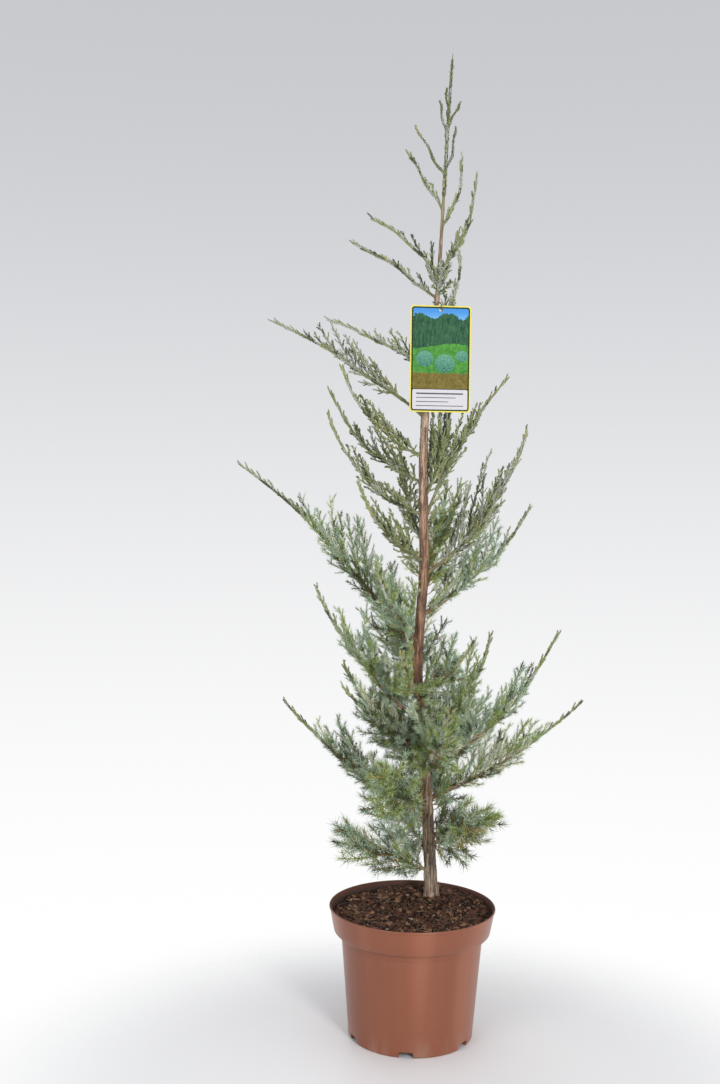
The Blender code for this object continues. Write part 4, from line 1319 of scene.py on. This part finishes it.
prints = {
    "border": 1.7 * mm,
    "lineWidth": 1.9 * mm,
    "pictureDrop": 0.030,
    "proud": 0.12 * mm,
    "step": 0.05 * mm,  # each layer stands this much higher
    "gap": 0.8 * mm,  # between the picture and the panel
    "corners": (3.6 * mm, 2.0 * mm),
    "bars": 4,
    "barPitch": 5.4 * mm,
    "barInset": (5.0 * mm, 6.0 * mm),
    "barHigh": (1.9 * mm, 1.0 * mm),  # the first one, and the others
    "card": (0.640, 0.560, 0.110, 1),
    "line": (0.014, 0.032, 0.010, 1),
    "paper": (0.520, 0.510, 0.540, 1),
    "ink": (0.085, 0.085, 0.095, 1),
}


def blockAt(size, place=(0, 0, 0)):
    deselectAll()
    bpy.ops.mesh.primitive_cube_add(size=1, location=place)
    made = bpy.context.object
    made.scale = size
    bpy.ops.object.transform_apply(location=True, rotation=False, scale=True)
    return made


def flatPlate(x0, x1, z0, z1, proud, corner, face=-1):
    # a thin printed plate on the card's face, given in the card's own frame
    thick = prints["proud"]
    away = label["thickness"] / 2 + proud - thick / 2
    made = blockAt((x1 - x0, thick, z1 - z0), ((x0 + x1) / 2, face * away, (z0 + z1) / 2))
    roundCorners(made, corner)
    return made


def roundCorners(made, corner):
    if not corner:
        return
    enterEdit("EDGE", "DESELECT")
    shape = bmesh.from_edit_mesh(made.data)
    for edge in shape.edges:
        a, b = (vert.co for vert in edge.verts)
        edge.select = abs(a.x - b.x) < 1e-7 and abs(a.z - b.z) < 1e-7
    bmesh.update_edit_mesh(made.data)
    bpy.ops.mesh.bevel(offset=corner, segments=8, affect="EDGES")
    bpy.ops.object.mode_set(mode="OBJECT")


def hangIt(made, name, material, *nodes):
    made.data.transform(labelTurn)
    made.data.update()
    addPiece(made, name, "label_card", material, *nodes)


def printed(name, colour):
    material, shader, place = newMaterial(name)
    grain = place.grain(900.0, 2.0, 0.5)
    tone = (0.4 + grain * 0.35).clamped()
    paler = tuple(min(1.0, c * 1.10) for c in colour[:3]) + (1,)
    wireUp(shader, "Specular IOR Level", 0.05)
    wireUp(shader, "Base Color", tone.between(colour, paler))
    wireUp(shader, "Roughness", 0.55 + grain * 0.10)
    return material


def gardenPicture():
    # a clipped hedge under a strip of sky, a lawn, low round shrubs and an ochre border
    material, shader, place = newMaterial("gardenPicture")
    wireUp(shader, "Specular IOR Level", 0.05)
    card = place.node("ShaderNodeMapping", {"vector_type": "TEXTURE"}, {
        "Vector": place, "Location": label["centre"], "Rotation": (0, label["roll"], label["yaw"])})
    x, _, z = card.parts()
    leaf = card.grain(520.0, 5.0, 0.75)
    coarse = card.grain(150.0, 4.0, 0.65)
    tall = card.stretched((330, 330, 90)).grain(1.0, 4.0, 0.7)
    sky = z.within(0.040, 0.066).between((0.24, 0.50, 0.74, 1), (0.060, 0.240, 0.580, 1))
    hedgeTop = z < 0.046 + (x * 160.0).sine() * 0.0035 + coarse * 0.016 + leaf * 0.006
    tone = (tall * 1.5 + leaf * 0.8 - 0.75).clamped()
    view = hedgeTop.between(sky, tone.between((0.006, 0.020, 0.018, 1), (0.075, 0.210, 0.100, 1)))
    bank = z < 0.014 + (x * 60.0 + 0.6).sine() * 0.0035 + coarse * 0.006
    tone = (coarse * 1.3 + leaf - 0.70).clamped()
    view = bank.between(view, tone.between((0.016, 0.095, 0.022, 1), (0.130, 0.400, 0.070, 1)))
    for cx, cz, size in ((-0.021, 0.000, 0.0125), (0.006, -0.006, 0.0145), (0.029, 0.004, 0.0090)):
        away = (((x - cx) / size) ** 2.0 + ((z - cz) / (size * 0.92)) ** 2.0) ** 0.5
        shrub = (away + leaf * 0.55) < 1.20
        tone = (leaf * 1.9 - 0.60 + (z - cz) * 14.0).clamped()
        view = shrub.between(view, tone.between((0.018, 0.110, 0.075, 1), (0.220, 0.480, 0.340, 1)))
    border = z < -0.024 + coarse * 0.010
    tone = (coarse * 0.9 + leaf * 1.2 - 0.65).clamped()
    view = border.between(view, tone.between((0.040, 0.055, 0.014, 1), (0.340, 0.230, 0.065, 1)))
    wireUp(shader, "Base Color", view)
    wireUp(shader, "Roughness", 0.55 + leaf * 0.06)
    return material


def modelLabel():
    half, tall = label["width"] / 2, label["height"] / 2
    card = blockAt((label["width"], label["thickness"], label["height"]))
    roundCorners(card, label["corner"])
    cardLook = printed("yellowCard", prints["card"])
    lineLook = printed("greenLine", prints["line"])
    paperLook = printed("whitePanel", prints["paper"])
    inkLook = printed("greyBars", prints["ink"])
    edge, proud = prints["border"], prints["step"]
    inner = edge + prints["lineWidth"]
    split = -tall + prints["pictureDrop"]
    outerCorner, innerCorner = prints["corners"]
    plates = []
    for face, tag, view, viewLook in (
        (-1, "Front", "labelPicture", gardenPicture()),
        (1, "Back", "labelBlank", paperLook),
    ):
        for name, look, inset, low, high, layer, corner in (
            ("labelLine" + tag, lineLook, edge, -tall + edge, tall - edge, 1, outerCorner),
            ("labelPanel" + tag, paperLook, inner, -tall + inner, split, 2, innerCorner),
            (view, viewLook, inner, split + prints["gap"], tall - inner, 2, innerCorner),
        ):
            made = flatPlate(-half + inset, half - inset, low, high, proud * layer, corner, face)
            plates.append((made, name, look))
    for row in range(prints["bars"]):
        z = split - prints["barPitch"] * (row + 1)
        left = -half + inner + prints["barInset"][0]
        right = half - inner - prints["barInset"][1] - 10.0 * ((row * 7) % 3) * mm
        high = prints["barHigh"][min(row, 1)]
        made = flatPlate(left, right, z - high / 2, z + high / 2, proud * 3, 0)
        plates.append((made, f"labelBar{row}", inkLook))
    deselectAll()
    bpy.ops.mesh.primitive_cylinder_add(
        radius=label["hole"], depth=0.02, vertices=32, location=(0, 0, tall - label["holeDrop"]),
        rotation=(math.pi / 2, 0, 0))
    punch = bpy.context.object
    for made in [card] + [plate for plate, name, look in plates]:
        cutAway(made, punch)
    bpy.data.objects.remove(punch)
    hangIt(card, "labelCard", cardLook, "label")
    for made, name, look in plates:
        hangIt(made, name, look)


def paintTie():
    material, shader, place = newMaterial("greenTie")
    grain = place.grain(600.0, 3.0, 0.6)
    wireUp(shader, "Base Color", grain.between((0.045, 0.070, 0.030, 1), (0.120, 0.160, 0.080, 1)))
    wireUp(shader, "Roughness", 0.42 + grain * 0.15)
    paint(bpy.data.objects["label_tie"], material)


modelLabel()
paintTie()
print("label hung")

deselectAll()
